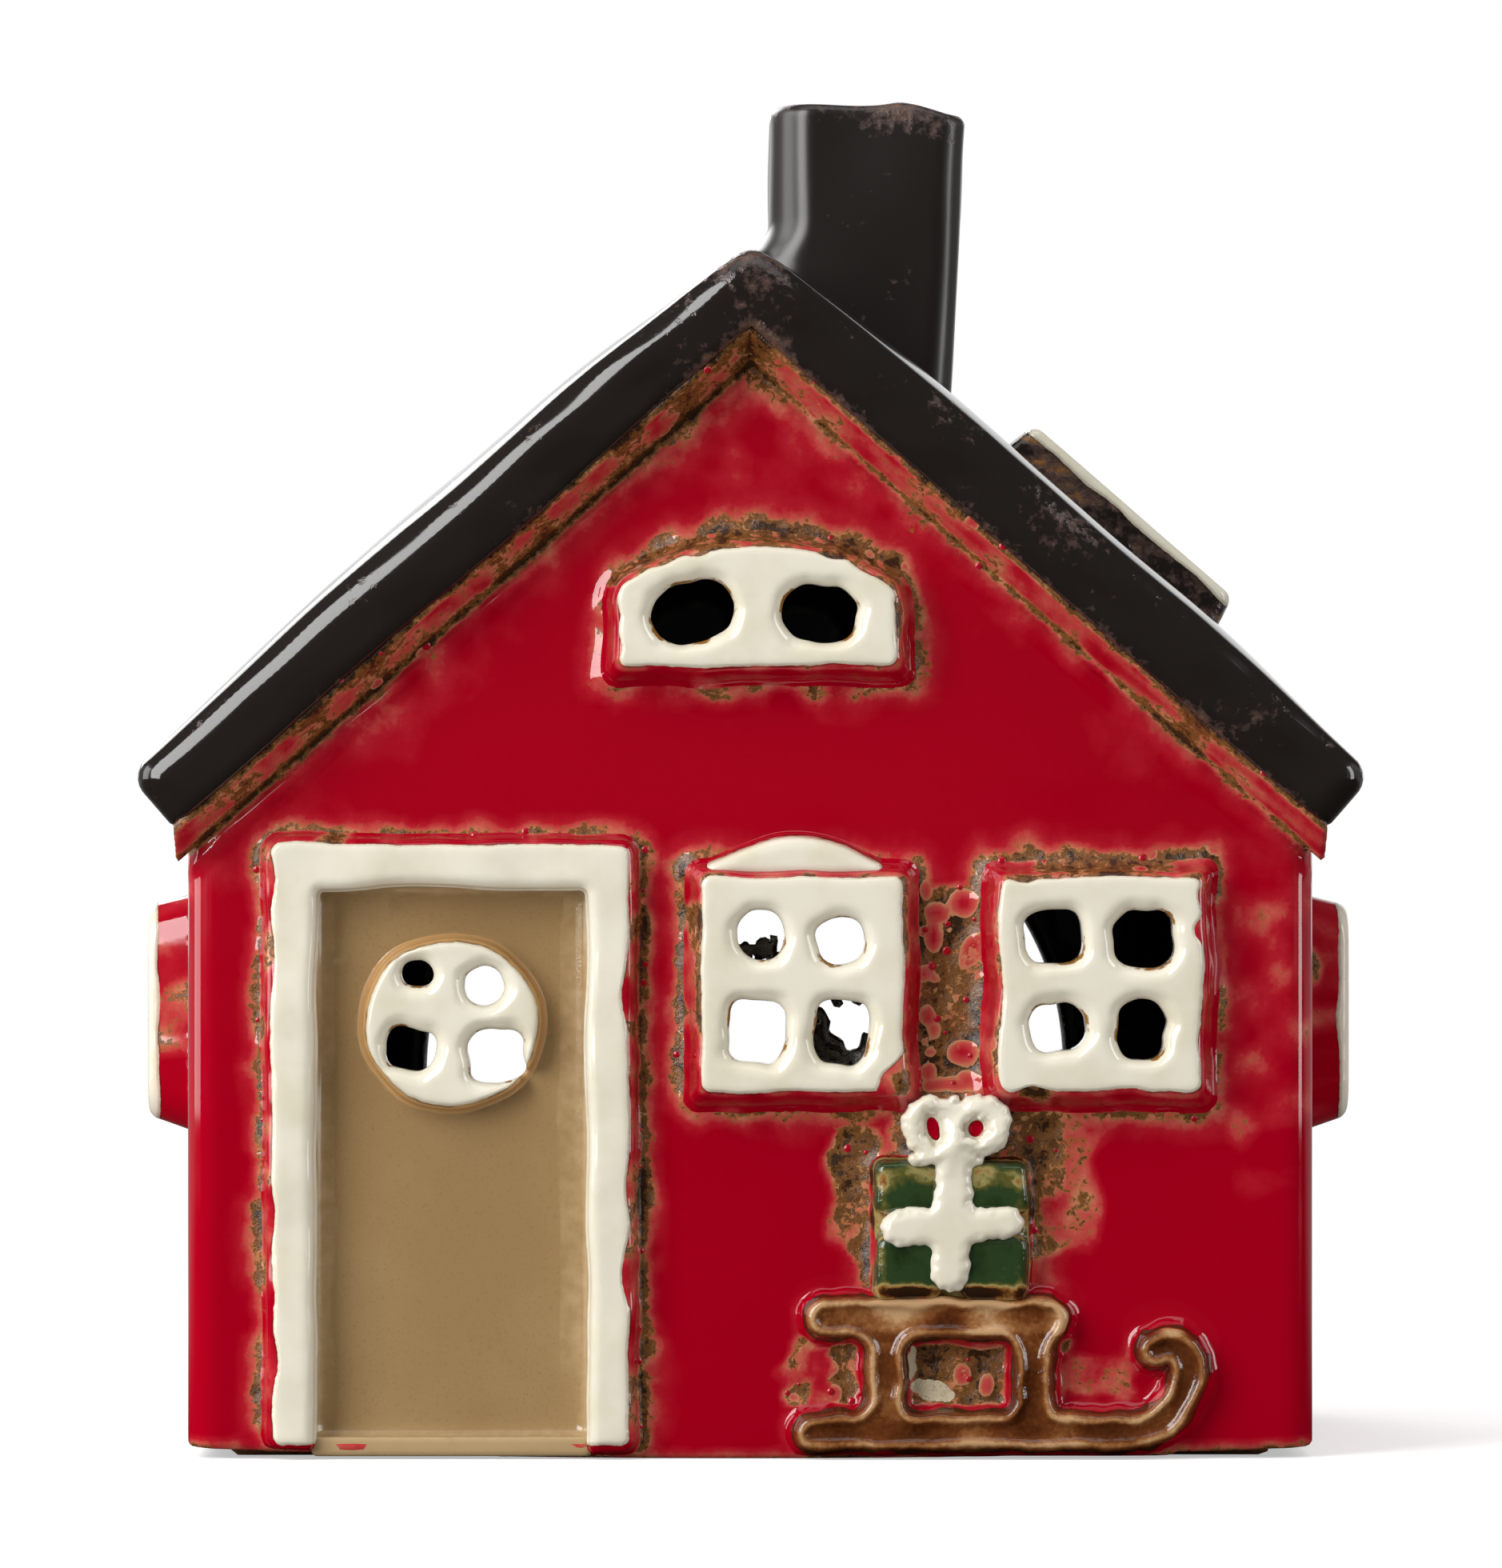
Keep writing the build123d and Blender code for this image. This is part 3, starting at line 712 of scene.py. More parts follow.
def pools(u, v):
    """Distance to the nearest red pool, in millimetres and negative inside."""
    x, z = gift_x, gift_face[3]
    shapes = [FAR + 0.0 * u + 0.0 * v]
    shapes += ovals_in(u, v, *gap_box(), gap_pools)
    shapes += ovals_at(u, v, x, z, ((-2.1, 3.9, 1.5, 2.4), (2.6, 3.8, 1.6, 2.2)))
    shapes += ovals_at(u, v, post_x, seat_z, sled_pools)
    shapes.append(bar_2d(u, v, (x - 2.5, z + 8.6), (x + 6.5, z + 8.9), 0.8))
    return nearest(*shapes) + 0.1 * ripple(u, v, 2.6, 30)


def blots(u, v):
    """How far a place lies inside the cream drops behind the sled, in millimetres."""
    x, z = post_x - post_apart + post_half, runner_z + runner_half
    drops = ovals_at(u, v, x, z, ((1.0, 5.6, 0.9, 2.4, -6), (3.2, 2.6, 2.9, 1.5, -14)))
    return -nearest(*drops) + 0.2 * ripple(u, v, 2.4, 29)


def bare_front_rule(u, v):
    """How bare the red glaze is on the front wall: 0 thick, 1 gone."""
    gap = box_2d(u, v, *gap_box(), 3)
    inner = box_2d(u, v, post_x - post_apart, post_x + post_apart, runner_z, seat_z, 1)
    places = [halo(u, v, *row) for row in front_halos]
    places.append(0.93 * ramp(-gap, -1.6, 0.6))
    places.append(0.93 * ramp(-inner, -0.5, 0.5))
    for low_u, high_u, low_v, high_v, most in crust_patches:
        patch = box_2d(u, v, low_u, high_u, low_v, high_v, 2.4) + 0.8 * ripple(u, v, 6, 38)
        places.append(most * ramp(-patch, -2.0, 0.6))
    for left_of, above, half_u, half_v, tilt, most in crust_spots:
        spot = oval_2d(u, v, post_x + left_of, seat_z + above, half_u, half_v, tilt)
        places.append(most * ramp(-spot - 0.5 * ripple(u, v, 3.5, 39), -1.4, 0.5))
    # A haze between the right window and the corner
    haze = ramp(u, right_face[1] + 1, right_face[1] + 4)
    haze = haze * ramp(-v, -wall_height - 2, -wall_height + 6)
    places.append(haze * ramp(v, 22, 40) * (0.36 + 0.16 * ripple(u, v, 8, 40)))
    bare = shared(*places, bare_rake(u, v), bare_foot(u, v))
    far = 0.12 * ramp(ripple(u, v, 34, 31), 0.2, 1.4)
    return ragged(bare, u, v, 32) + far


def bare_rake(u, v):
    """How bare the glaze is on the cove under the roof's edge and on the wall below it; the cove's
    dark tones are partly painted shade and the pale veil below it partly a painted reflection.
    """
    below = rake_drop(u, v) - cove_height
    apex = ramp(v, inner_ridge - 34, inner_ridge - 8)
    high = ramp(v, inner_ridge - 13, inner_ridge - 3)
    along = np.abs(u) * pitch_cos + (inner_ridge - v) * pitch_sin + 300 * (u < 0)
    streaks = 0.1 * ripple(0.12 * along, below, 1.5, 37) + 0.08 * ripple(0.3 * along, below, 3, 50)
    # Partly painted shade: the cove under the overhang turns rust-brown with dark flecks, browner
    # near the apex, to look shaded; the rust tone is also the glaze's own
    rusty = np.where(u < 0, 0.66, 0.56) + 0.2 * high + streaks
    cove = rusty * ramp(-below, 0.1, 0.7)
    spread = np.where(u < 0, 0.6, 0.46)
    # Partly painted shade: a dark line along the crease at the cove's foot, and another down the
    # apex where the two coves meet
    crease = np.where(u < 0, 1.24, 1.02) * hump(below + 0.1, spread)
    middle = 1.2 * hump(u, 0.6) * ramp(-below, -0.4, 0.2)
    middle = middle * ramp(v, inner_ridge - 9, inner_ridge - 5)
    crease = np.maximum(crease, middle)
    fade = (0.56 + 0.08 * apex) * fading(below, 2.6 + 3.4 * apex, 1.3)
    fade = fade * (below > 0)
    # Partly a painted reflection: a pale pink veil over the top of the wall below the cove, stronger
    # at the left; it is also thin glaze
    veil = np.where(u < 0, 0.3, 0.22) * fading(below, 11.0)
    fade = np.maximum(fade, veil * (1 + 0.5 * ripple(u, v, 13, 36)))
    # Painted shade: the cove turns nearly black at its top, where it meets the roof
    top = 1.1 * ramp(-below, cove_height - 1.0, cove_height - 0.2)
    return shared(cove, crease, fade, top)


def bare_foot(u, v):
    """How bare the glaze is along the foot of a gable wall."""
    return 0.72 * hump(v - foot_line(u), 1.3)


def ragged(bare, u, v, seed):
    """Break up how bare the glaze is, where it isn't thick."""
    gate = ramp(bare, 0.06, 0.5)
    waves = 0.09 * ripple(u, v, 15, seed + 200) + 0.11 * ripple(u, v, 5.5, seed)
    return bare + gate * (waves + 0.05 * ripple(u, v, 2.2, seed + 100))


def arch_outline(u, v):
    """Distance to the arch in the back wall, which is open at its foot."""
    spring = arch_height - arch_radius
    arch = np.where(v > spring, np.hypot(u, v - spring), np.abs(u)) - arch_radius
    return arch + 0.25 * ripple(u, v, 30, 61)


def bare_back_rule(u, v):
    """How bare the red glaze is on the back wall."""
    rim = 0.84 * fading(arch_outline(u, v), 1.1, 1.2)
    return ragged(shared(bare_rake(u, v), bare_foot(u, v), rim), u, v, 34)


def bare_side_rule(u, v):
    """How bare the red glaze is on the side walls."""
    eave = 0.85 * fading(wall_height - v, 2.4, 1.4)
    ring = halo(u, v, foot_of(side_face), 1.1, 4.0, (0.96, 0.96, 0.88, 1.0))
    foot = 0.72 * hump(v - foot_lift, 1.3)
    return ragged(shared(eave, ring, foot), u, v, 35)


def foot_line(u):
    """Height of the wall's bowed foot."""
    return foot_lift * np.minimum(np.abs(u) / half_width, 1) ** 2


def wall_surface(u, v, bare, pool):
    """How far a wall's glazed face stands out from its flat."""
    return (
        0.1 * ripple(u, v, 46, 41) + 0.012 * ripple(u, v, 12, 42)
        - 0.14 * ramp(bare, 0.7, 0.92) * (1 + 0.5 * ripple(u, v, 1.9, 43))
        + 0.16 * ramp(pool, 0.5, -0.3) * ramp(bare, 0.6, 0.9)
    )


def climb(distance, height=0.8):
    """How high the glaze climbs beside a relief."""
    return height * fading(distance, 0.95, 1.3)


def front_surface_rule(u, v):
    """The front wall's glazed face: fillets at its reliefs and a bead under the cove."""
    surface = wall_surface(u, v, bare_front(u, v), pool_front(u, v))
    below = rake_drop(u, v) - cove_height
    bead = np.where(u < 0, 0.6, 0.5) * hump(below - 1.35, 0.6)
    bead = bead * (1 + 0.3 * ripple(u, v, 12, 46))
    high = nearest(*(outline(u, v) for outline, *_ in front_halos[:5]))
    low = nearest(bow_outline(u, v), sled_outline(u, v)) + 0.2
    return surface + bead + climb(nearest(high, low), 0.8 + 0.2 * ripple(u, v, 8, 47))


def side_surface_rule(u, v):
    """A side wall's glazed face with fillets at its window."""
    surface = wall_surface(u, v, bare_side(u, v), FAR)
    return surface + climb(block_outline(side_face, u, v, 1))


def wall_chart(rule, half):
    """A chart of a wall that reaches half to either side."""
    return Chart(rule, -half - 4, half + 4, -4, inner_ridge + 4)


bare_front = wall_chart(bare_front_rule, eave_low_x)
pool_front = wall_chart(pools, eave_low_x)
front_surface = wall_chart(front_surface_rule, eave_low_x)
bare_back = wall_chart(bare_back_rule, eave_low_x)
back_surface = wall_chart(lambda u, v: wall_surface(u, v, bare_back(u, v), FAR), eave_low_x)
bare_side = wall_chart(bare_side_rule, half_depth)
side_surface = wall_chart(side_surface_rule, half_depth)


# Nodes

def srgb(red, green, blue):
    """A colour as the screen shows it, 0 to 255, in the linear values that nodes take."""
    return tuple(
        c / 12.92 if c <= 0.04045 else ((c + 0.055) / 1.055) ** 2.4
        for c in (red / 255, green / 255, blue / 255)
    )


class Sheet:
    """A node tree that is filled in from left to right."""

    def __init__(self, tree):
        self.tree = tree
        self.column = 0

    def node(self, kind, **settings):
        """A new node at the next place on the sheet."""
        node = self.tree.nodes.new(kind)
        self.column += 1
        node.location = (200 * self.column, -60 * (self.column % 5))
        for name, value in settings.items():
            setattr(node, name, value)
        return node

    def fill(self, socket, value):
        """Link a socket to another one, or give it a value."""
        if isinstance(value, bpy.types.NodeSocket):
            self.tree.links.new(value, socket)
        else:
            socket.default_value = value

    def add(self, kind, inputs=None, **settings):
        """A new node with its inputs filled."""
        node = self.node(kind, **settings)
        for key, value in (inputs or {}).items():
            self.fill(node.inputs[key], value)
        return node

    def math(self, operation, a, b=0.0, c=0.0):
        """The value of a calculation."""
        return self.add("ShaderNodeMath", {0: a, 1: b, 2: c}, operation=operation).outputs[0]

    def stir(self, noise, amount, base):
        """A value that noise moves up and down by some amount."""
        return self.math("MULTIPLY_ADD", self.math("SUBTRACT", noise, 0.5), amount, base)

    def blend(self, share, a, b):
        """A value between a and b."""
        inputs = {"Factor": share, "A": a, "B": b}
        return self.add("ShaderNodeMix", inputs, data_type="FLOAT").outputs["Result"]

    def spread(self, value, start, end, low=0.0, high=1.0):
        """Map start and end to low and high with a smooth way between."""
        inputs = {"Value": value, "From Min": start, "From Max": end, "To Min": low, "To Max": high}
        node = self.add("ShaderNodeMapRange", inputs, interpolation_type="SMOOTHSTEP")
        return node.outputs["Result"]

    def mix(self, share, a, b):
        """A colour between a and b."""
        node = self.node("ShaderNodeMix", data_type="RGBA")
        for key, value in (("Factor", share), ("A", a), ("B", b)):
            if key != "Factor" and not isinstance(value, bpy.types.NodeSocket):
                value = (*value[:3], 1.0)
            self.fill([s for s in node.inputs if s.name == key and s.enabled][0], value)
        return [s for s in node.outputs if s.enabled][0]

    def mark(self, name):
        """A value that the mesh carries at its points."""
        return self.add("ShaderNodeAttribute", attribute_name=name).outputs["Fac"]

    def noise(self, scale, detail=2.0, roughness=0.5, stretch=(1, 1, 1), warp=0.0):
        """Noise on the object's own coordinates; scale is waves in a metre."""
        place = self.add("ShaderNodeTexCoord").outputs["Object"]
        if stretch != (1, 1, 1):
            place = self.add("ShaderNodeMapping", {"Vector": place, "Scale": stretch}).outputs[0]
        inputs = {"Vector": place, "Scale": scale, "Detail": detail, "Roughness": roughness,
                  "Distortion": warp}
        return self.add("ShaderNodeTexNoise", inputs).outputs[0]

    def cells(self, scale, jitter=1.0):
        """Distance to the nearest of many scattered points."""
        place = self.add("ShaderNodeTexCoord").outputs["Object"]
        inputs = {"Vector": place, "Scale": scale, "Randomness": jitter, "Smoothness": 0.4}
        return self.add("ShaderNodeTexVoronoi", inputs, feature="SMOOTH_F1").outputs["Distance"]

    def stops(self, value, colours):
        """A colour ramp from pairs of place and colour."""
        node = self.add("ShaderNodeValToRGB", {"Fac": value})
        elements = node.color_ramp.elements
        while len(elements) < len(colours):
            elements.new(0.5)
        for element, (place, colour) in zip(elements, colours):
            element.position = place
            element.color = (*colour[:3], 1.0)
        return node.outputs["Color"]


glaze_ior = 1.66
plain_ior = 1.45
white = (1, 1, 1, 1)


def new_material(name, ior=glaze_ior):
    """A material with an empty sheet and its surface shader."""
    material = bpy.data.materials.new(name)
    material.use_nodes = True
    tree = material.node_tree
    tree.nodes.clear()
    sheet = Sheet(tree)
    shader = sheet.add("ShaderNodeBsdfPrincipled", {"IOR": ior})
    sheet.add("ShaderNodeOutputMaterial", {"Surface": shader.outputs["BSDF"]})
    return material, sheet, shader


def dress(sheet, shader, depth, colour, rough, height):
    """Give a shader its colour, roughness and fine relief; depth is that of a height of 1."""
    relief_node = sheet.add("ShaderNodeBump", {"Height": height, "Distance": depth, "Strength": 1.0})
    looks = {"Base Color": colour, "Roughness": rough, "Normal": relief_node.outputs["Normal"]}
    for key, value in looks.items():
        sheet.fill(shader.inputs[key], value)


def red_layers(sheet, colours):
    """Colour, roughness and height of the red glaze, from thick to gone."""
    bare = sheet.mark("bare")
    gate = sheet.spread(bare, 0.05, 0.5)
    cloud = sheet.math("SUBTRACT", sheet.noise(240, 3.0, 0.55, warp=0.5), 0.5)
    grain = sheet.math("SUBTRACT", sheet.noise(1600, 3.0, 0.6), 0.5)
    shift = sheet.math("MULTIPLY_ADD", cloud, 0.5, sheet.math("MULTIPLY", grain, 0.22))
    soft = sheet.math("MULTIPLY_ADD", shift, gate, bare)
    glaze = sheet.stops(soft, (
        (0.0, colours.red), (0.2, colours.red), (0.44, colours.rose), (0.66, colours.pink),
        (0.86, colours.peach), (1.0, colours.golden),
    ))
    # Crust where the glaze has drawn back, with flecks and specks
    torn = sheet.math("SUBTRACT", sheet.noise(1150, 6.0, 0.66, warp=0.4), 0.5)
    worn = sheet.math("MULTIPLY_ADD", torn, 1.35, bare)
    crusty = sheet.spread(worn, 0.8, 0.83)
    rusty = sheet.math("MULTIPLY", sheet.spread(worn, 0.66, 0.8), 0.85)
    glaze = sheet.mix(rusty, glaze, colours.crust_edge)
    deep = sheet.noise(420, 4.0, 0.6)
    body = sheet.mix(sheet.spread(deep, 0.44, 0.66), colours.crust, colours.crust_deep)
    flecks = sheet.noise(2300, 4.0, 0.7)
    body = sheet.mix(sheet.spread(flecks, 0.56, 0.7, 0.0, 0.85), body, colours.crust_dark)
    body = sheet.mix(sheet.spread(sheet.noise(2900, 3.0, 0.6), 0.58, 0.7, 0.0, 0.6), body,
                     colours.crust_light)
    body = sheet.mix(sheet.spread(worn, 0.99, 1.14, 0.0, 0.9), body, colours.crust_dark)
    # Red pools that stay in the crust
    chance = sheet.noise(130, 1.0)
    size = sheet.spread(chance, 0.46, 0.7, -0.15, 0.36)
    pool = sheet.math("SUBTRACT", sheet.cells(330, jitter=0.9), size)
    pool = sheet.math("MULTIPLY_ADD", torn, 0.3, pool)
    near = sheet.math("MULTIPLY", sheet.mark("pool"), 0.3)
    pool = sheet.math("MINIMUM", pool, sheet.math("MULTIPLY_ADD", torn, 0.1, near))
    island = sheet.spread(pool, 0.015, -0.015)
    pooled = sheet.stops(sheet.math("MULTIPLY", pool, -1.7), (
        (0.0, colours.golden), (0.05, colours.peach), (0.2, colours.pink), (0.6, colours.rose),
        (1.0, colours.red),
    ))
    crusty = sheet.math("MULTIPLY", crusty, sheet.math("SUBTRACT", 1.0, island))
    lifted = sheet.math("MULTIPLY", island, sheet.spread(worn, 0.66, 0.8))
    colour = sheet.mix(lifted, sheet.mix(crusty, glaze, body), pooled)
    # Drops of cream glaze that fell beside it
    blot = sheet.math("MULTIPLY_ADD", torn, 0.9, sheet.mark("blot"))
    colour = sheet.mix(sheet.spread(blot, 0.3, 0.42), colour, colours.cream_thin)
    rough = sheet.math("MULTIPLY_ADD", crusty, 0.16, 0.06)
    height = sheet.math("SUBTRACT", 1.0, crusty)
    height = sheet.math("MULTIPLY_ADD", sheet.math("MULTIPLY", crusty, flecks), 0.9, height)
    return colour, rough, height


def red_and_painted_inside_shade(sheet, colours):
    """Red glaze outside, and painted shade inside: near black the deeper a place lies in the wall.
    """
    colour, rough, height = red_layers(sheet, colours)
    depth = sheet.math("ADD", sheet.mark("depth"), sheet.math("MULTIPLY", sheet.noise(500), 1.6))
    # Painted shade: the inner walls, the deep pane reveals and the lumps in two panes turn near
    # black
    inside = sheet.spread(depth, 2.0, 3.2)
    return sheet.mix(inside, colour, colours.inside), rough, height


def layered(name, colours, over, under):
    """One glaze laid over another, up to a ragged border; over and under make the two."""
    material, sheet, shader = new_material(name)
    low_colour, low_rough, low_height = under(sheet, colours)
    edge = sheet.stir(sheet.noise(900, 3.0), 0.3, sheet.mark("cover"))
    high_colour, high_rough, high_height = over(sheet, colours, edge)
    cover = sheet.spread(edge, -0.04, 0.05)
    line = sheet.math("MULTIPLY", sheet.spread(edge, -0.28, -0.06),
                      sheet.spread(sheet.noise(260), 0.4, 0.6))
    low_colour = sheet.mix(sheet.math("MULTIPLY", line, 0.6), low_colour, colours.crust_dark)
    dress(sheet, shader, 0.00012, sheet.mix(cover, low_colour, high_colour),
          sheet.blend(cover, low_rough, high_rough), sheet.blend(cover, low_height, high_height))
    return material


def cream_layers(sheet, colours, edge):
    """Colour, roughness and height of the cream glaze."""
    pool = sheet.noise(140, 3.0, 0.6)
    body = sheet.mix(sheet.spread(pool, 0.35, 0.75), colours.cream, colours.cream_deep)
    thin = sheet.spread(sheet.math("MULTIPLY_ADD", pool, 0.25, edge), 0.42, 0.1)
    body = sheet.mix(sheet.math("MULTIPLY", thin, 0.5), body, colours.cream_thin)
    torn = sheet.math("SUBTRACT", sheet.noise(1300, 3.0), 0.5)
    stain = sheet.spread(sheet.math("ADD", sheet.mark("stain"), torn), 0.5, 0.8)
    body = sheet.mix(stain, body, colours.crust_edge)
    rough = sheet.spread(pool, 0.3, 0.7, 0.08, 0.14)
    return body, rough, sheet.spread(edge, -0.1, 0.4, 1.0, 2.2)


def rubbed(sheet, cloud_scale, cloud_amount, grain_scale):
    """How thin a glaze runs over its edges, and the roughness and height that come of it."""
    cloud = sheet.noise(cloud_scale, 3.0, 0.55, warp=0.5)
    value = sheet.stir(cloud, cloud_amount, sheet.mark("rub"))
    value = sheet.stir(sheet.noise(grain_scale, 3.0, 0.6), 0.3, value)
    return value, sheet.spread(value, 0.3, 0.9, 0.07, 0.16), sheet.math("SUBTRACT", 2.0, value)


def brown_layers(sheet, colours, edge):
    """Colour, roughness and height of the brown glaze, pale where it runs thin."""
    value, rough, height = rubbed(sheet, 280, 0.55, 1800)
    colour = sheet.stops(value, (
        (0.0, colours.brown_dark), (0.2, colours.brown_dark), (0.42, colours.brown),
        (0.6, colours.brown_thin), (0.8, colours.brown_edge), (1.0, colours.brown_edge),
    ))
    return colour, rough, height


def green_layers(sheet, colours, edge):
    """Colour, roughness and height of the green glaze, olive and brown where it runs thin."""
    value, rough, height = rubbed(sheet, 300, 0.6, 1500)
    colour = sheet.stops(value, (
        (0.0, colours.green_dark), (0.28, colours.green), (0.44, colours.green),
        (0.58, colours.olive), (0.7, colours.olive_edge), (0.82, colours.crust_edge),
        (0.92, colours.brown_dark), (1.0, colours.crust_dark),
    ))
    return colour, rough, height


def black_layers(sheet, colours):
    """Colour, roughness and height of the black glaze with its brown mottles."""
    value = sheet.stir(sheet.noise(110, 3.0, 0.6, warp=0.6), 0.9, sheet.mark("bare"))
    value = sheet.stir(sheet.noise(950, 4.0, 0.62), 1.1, value)
    colour = sheet.stops(value, (
        (0.0, colours.black), (0.42, colours.black), (0.6, colours.mottle),
        (0.78, colours.roof_brown), (0.9, colours.crust), (1.0, colours.crust_edge),
    ))
    rough = sheet.spread(value, 0.4, 0.9, 0.1, 0.36)
    rough = sheet.math("MULTIPLY_ADD", sheet.mark("dull"), 0.2, rough)
    return colour, rough, sheet.spread(value, 0.4, 0.95, 1.0, 0.2)


def door_layers(sheet, colours):
    """Colour, roughness and height of the door's khaki glaze, with a painted sheen beside its edges
    and painted shade deep in its holes and at its back.
    """
    fine = sheet.noise(2600, 3.0, 0.7)
    broad = sheet.noise(45, 3.0, 0.6)
    body = sheet.mix(sheet.spread(broad, 0.3, 0.7), colours.khaki, colours.khaki_deep)
    body = sheet.mix(sheet.spread(fine, 0.52, 0.74, 0.0, 0.45), body, colours.khaki_speck)
    # Paler where the glaze runs thin by the frame, and as a painted sheen in the bands beside the
    # door's edges
    value = sheet.stir(sheet.noise(700, 3.0), 0.5, sheet.mark("bare"))
    body = sheet.mix(sheet.spread(value, 0.3, 0.75), body, colours.khaki_thin)
    body = sheet.mix(sheet.spread(value, 0.86, 0.98), body, colours.khaki_edge)
    # Painted shade: near black the deeper a place lies behind the door's face, in its pane holes and
    # at its back
    body = sheet.mix(sheet.spread(sheet.mark("depth"), 0.8, 1.6), body, colours.inside)
    rough = sheet.spread(value, 0.3, 1.0, 0.1, 0.2)
    return body, rough, sheet.math("MULTIPLY", fine, 0.12)


def clay_layers(sheet, colours):
    """Colour, roughness and height of bare fired clay with grit."""
    grit = sheet.noise(1400, 5.0, 0.7)
    cloud = sheet.noise(60, 3.0, 0.6)
    body = sheet.mix(sheet.spread(cloud, 0.3, 0.7), colours.clay, colours.clay_dark)
    body = sheet.mix(sheet.spread(grit, 0.6, 0.75, 0.0, 0.6), body, colours.clay_dark)
    return body, sheet.spread(grit, 0.3, 0.7, 0.75, 0.92), grit


def foil_layers(sheet, colours):
    """Colour, roughness and height of pressed aluminium foil with fine draw marks."""
    marks = sheet.noise(900, 4.0, 0.6, stretch=(1, 1, 0.08))
    colour = sheet.mix(sheet.spread(marks, 0.35, 0.7), colours.foil, colours.foil_dark)
    return colour, sheet.spread(marks, 0.3, 0.7, 0.18, 0.36), marks


def wax_layers(sheet, colours):
    """Colour, roughness and height of white wax with a faint mottle and pits."""
    cloud = sheet.noise(220, 4.0, 0.6)
    pits = sheet.spread(sheet.cells(260), 0.05, 0.2)
    colour = sheet.mix(sheet.spread(cloud, 0.3, 0.7), colours.wax, colours.wax_deep)
    height = sheet.math("ADD", pits, sheet.math("MULTIPLY", cloud, 0.5))
    return colour, sheet.spread(cloud, 0.3, 0.7, 0.38, 0.55), height


def cotton_layers(sheet, colours):
    """Colour, roughness and height of waxed cotton, darker in the furrows between its yarns."""
    fibres = sheet.noise(5200, 4.0, 0.6, stretch=(1, 1, 0.3))
    colour = sheet.mix(sheet.spread(fibres, 0.35, 0.65), colours.cotton, colours.cotton_dark)
    return colour, sheet.spread(fibres, 0.3, 0.7, 0.7, 0.9), fibres


# Materials of one kind: their layers, the depth of their fine relief in metres, their index of
# refraction and what else their shader is given
plain_materials = {
    "glossy_red": (red_and_painted_inside_shade, 0.00012, glaze_ior, {}),
    "glossy_black": (black_layers, 0.0001, glaze_ior, {}),
    "glossy_khaki": (door_layers, 0.0001, glaze_ior, {}),
    "fired_clay": (clay_layers, 0.0002, plain_ior, {}),
    "pressed_foil": (foil_layers, 0.00005, plain_ior, {"Metallic": 1.0}),
    "candle_wax": (wax_layers, 0.00012, plain_ior,
                   {"Subsurface Weight": 0.25, "Subsurface Scale": 0.003}),
    "wick_cotton": (cotton_layers, 0.0001, plain_ior, {}),
}

# Glazes that are laid over another one, and those that they are laid over
overs = {"cream": cream_layers, "brown": brown_layers, "green": green_layers}
unders = {"red": red_layers, "black": black_layers, "khaki": door_layers}


class HouseColours(bpy.types.PropertyGroup):
    """Colours of the glazes, the clay and the tealight."""


def colour_property(name, description, red, green, blue):
    """A colour setting, given as the screen shows it."""
    return FloatVectorProperty(
        name=name, description=description, subtype="COLOR", size=3, min=0, max=1,
        default=srgb(red, green, blue),
    )


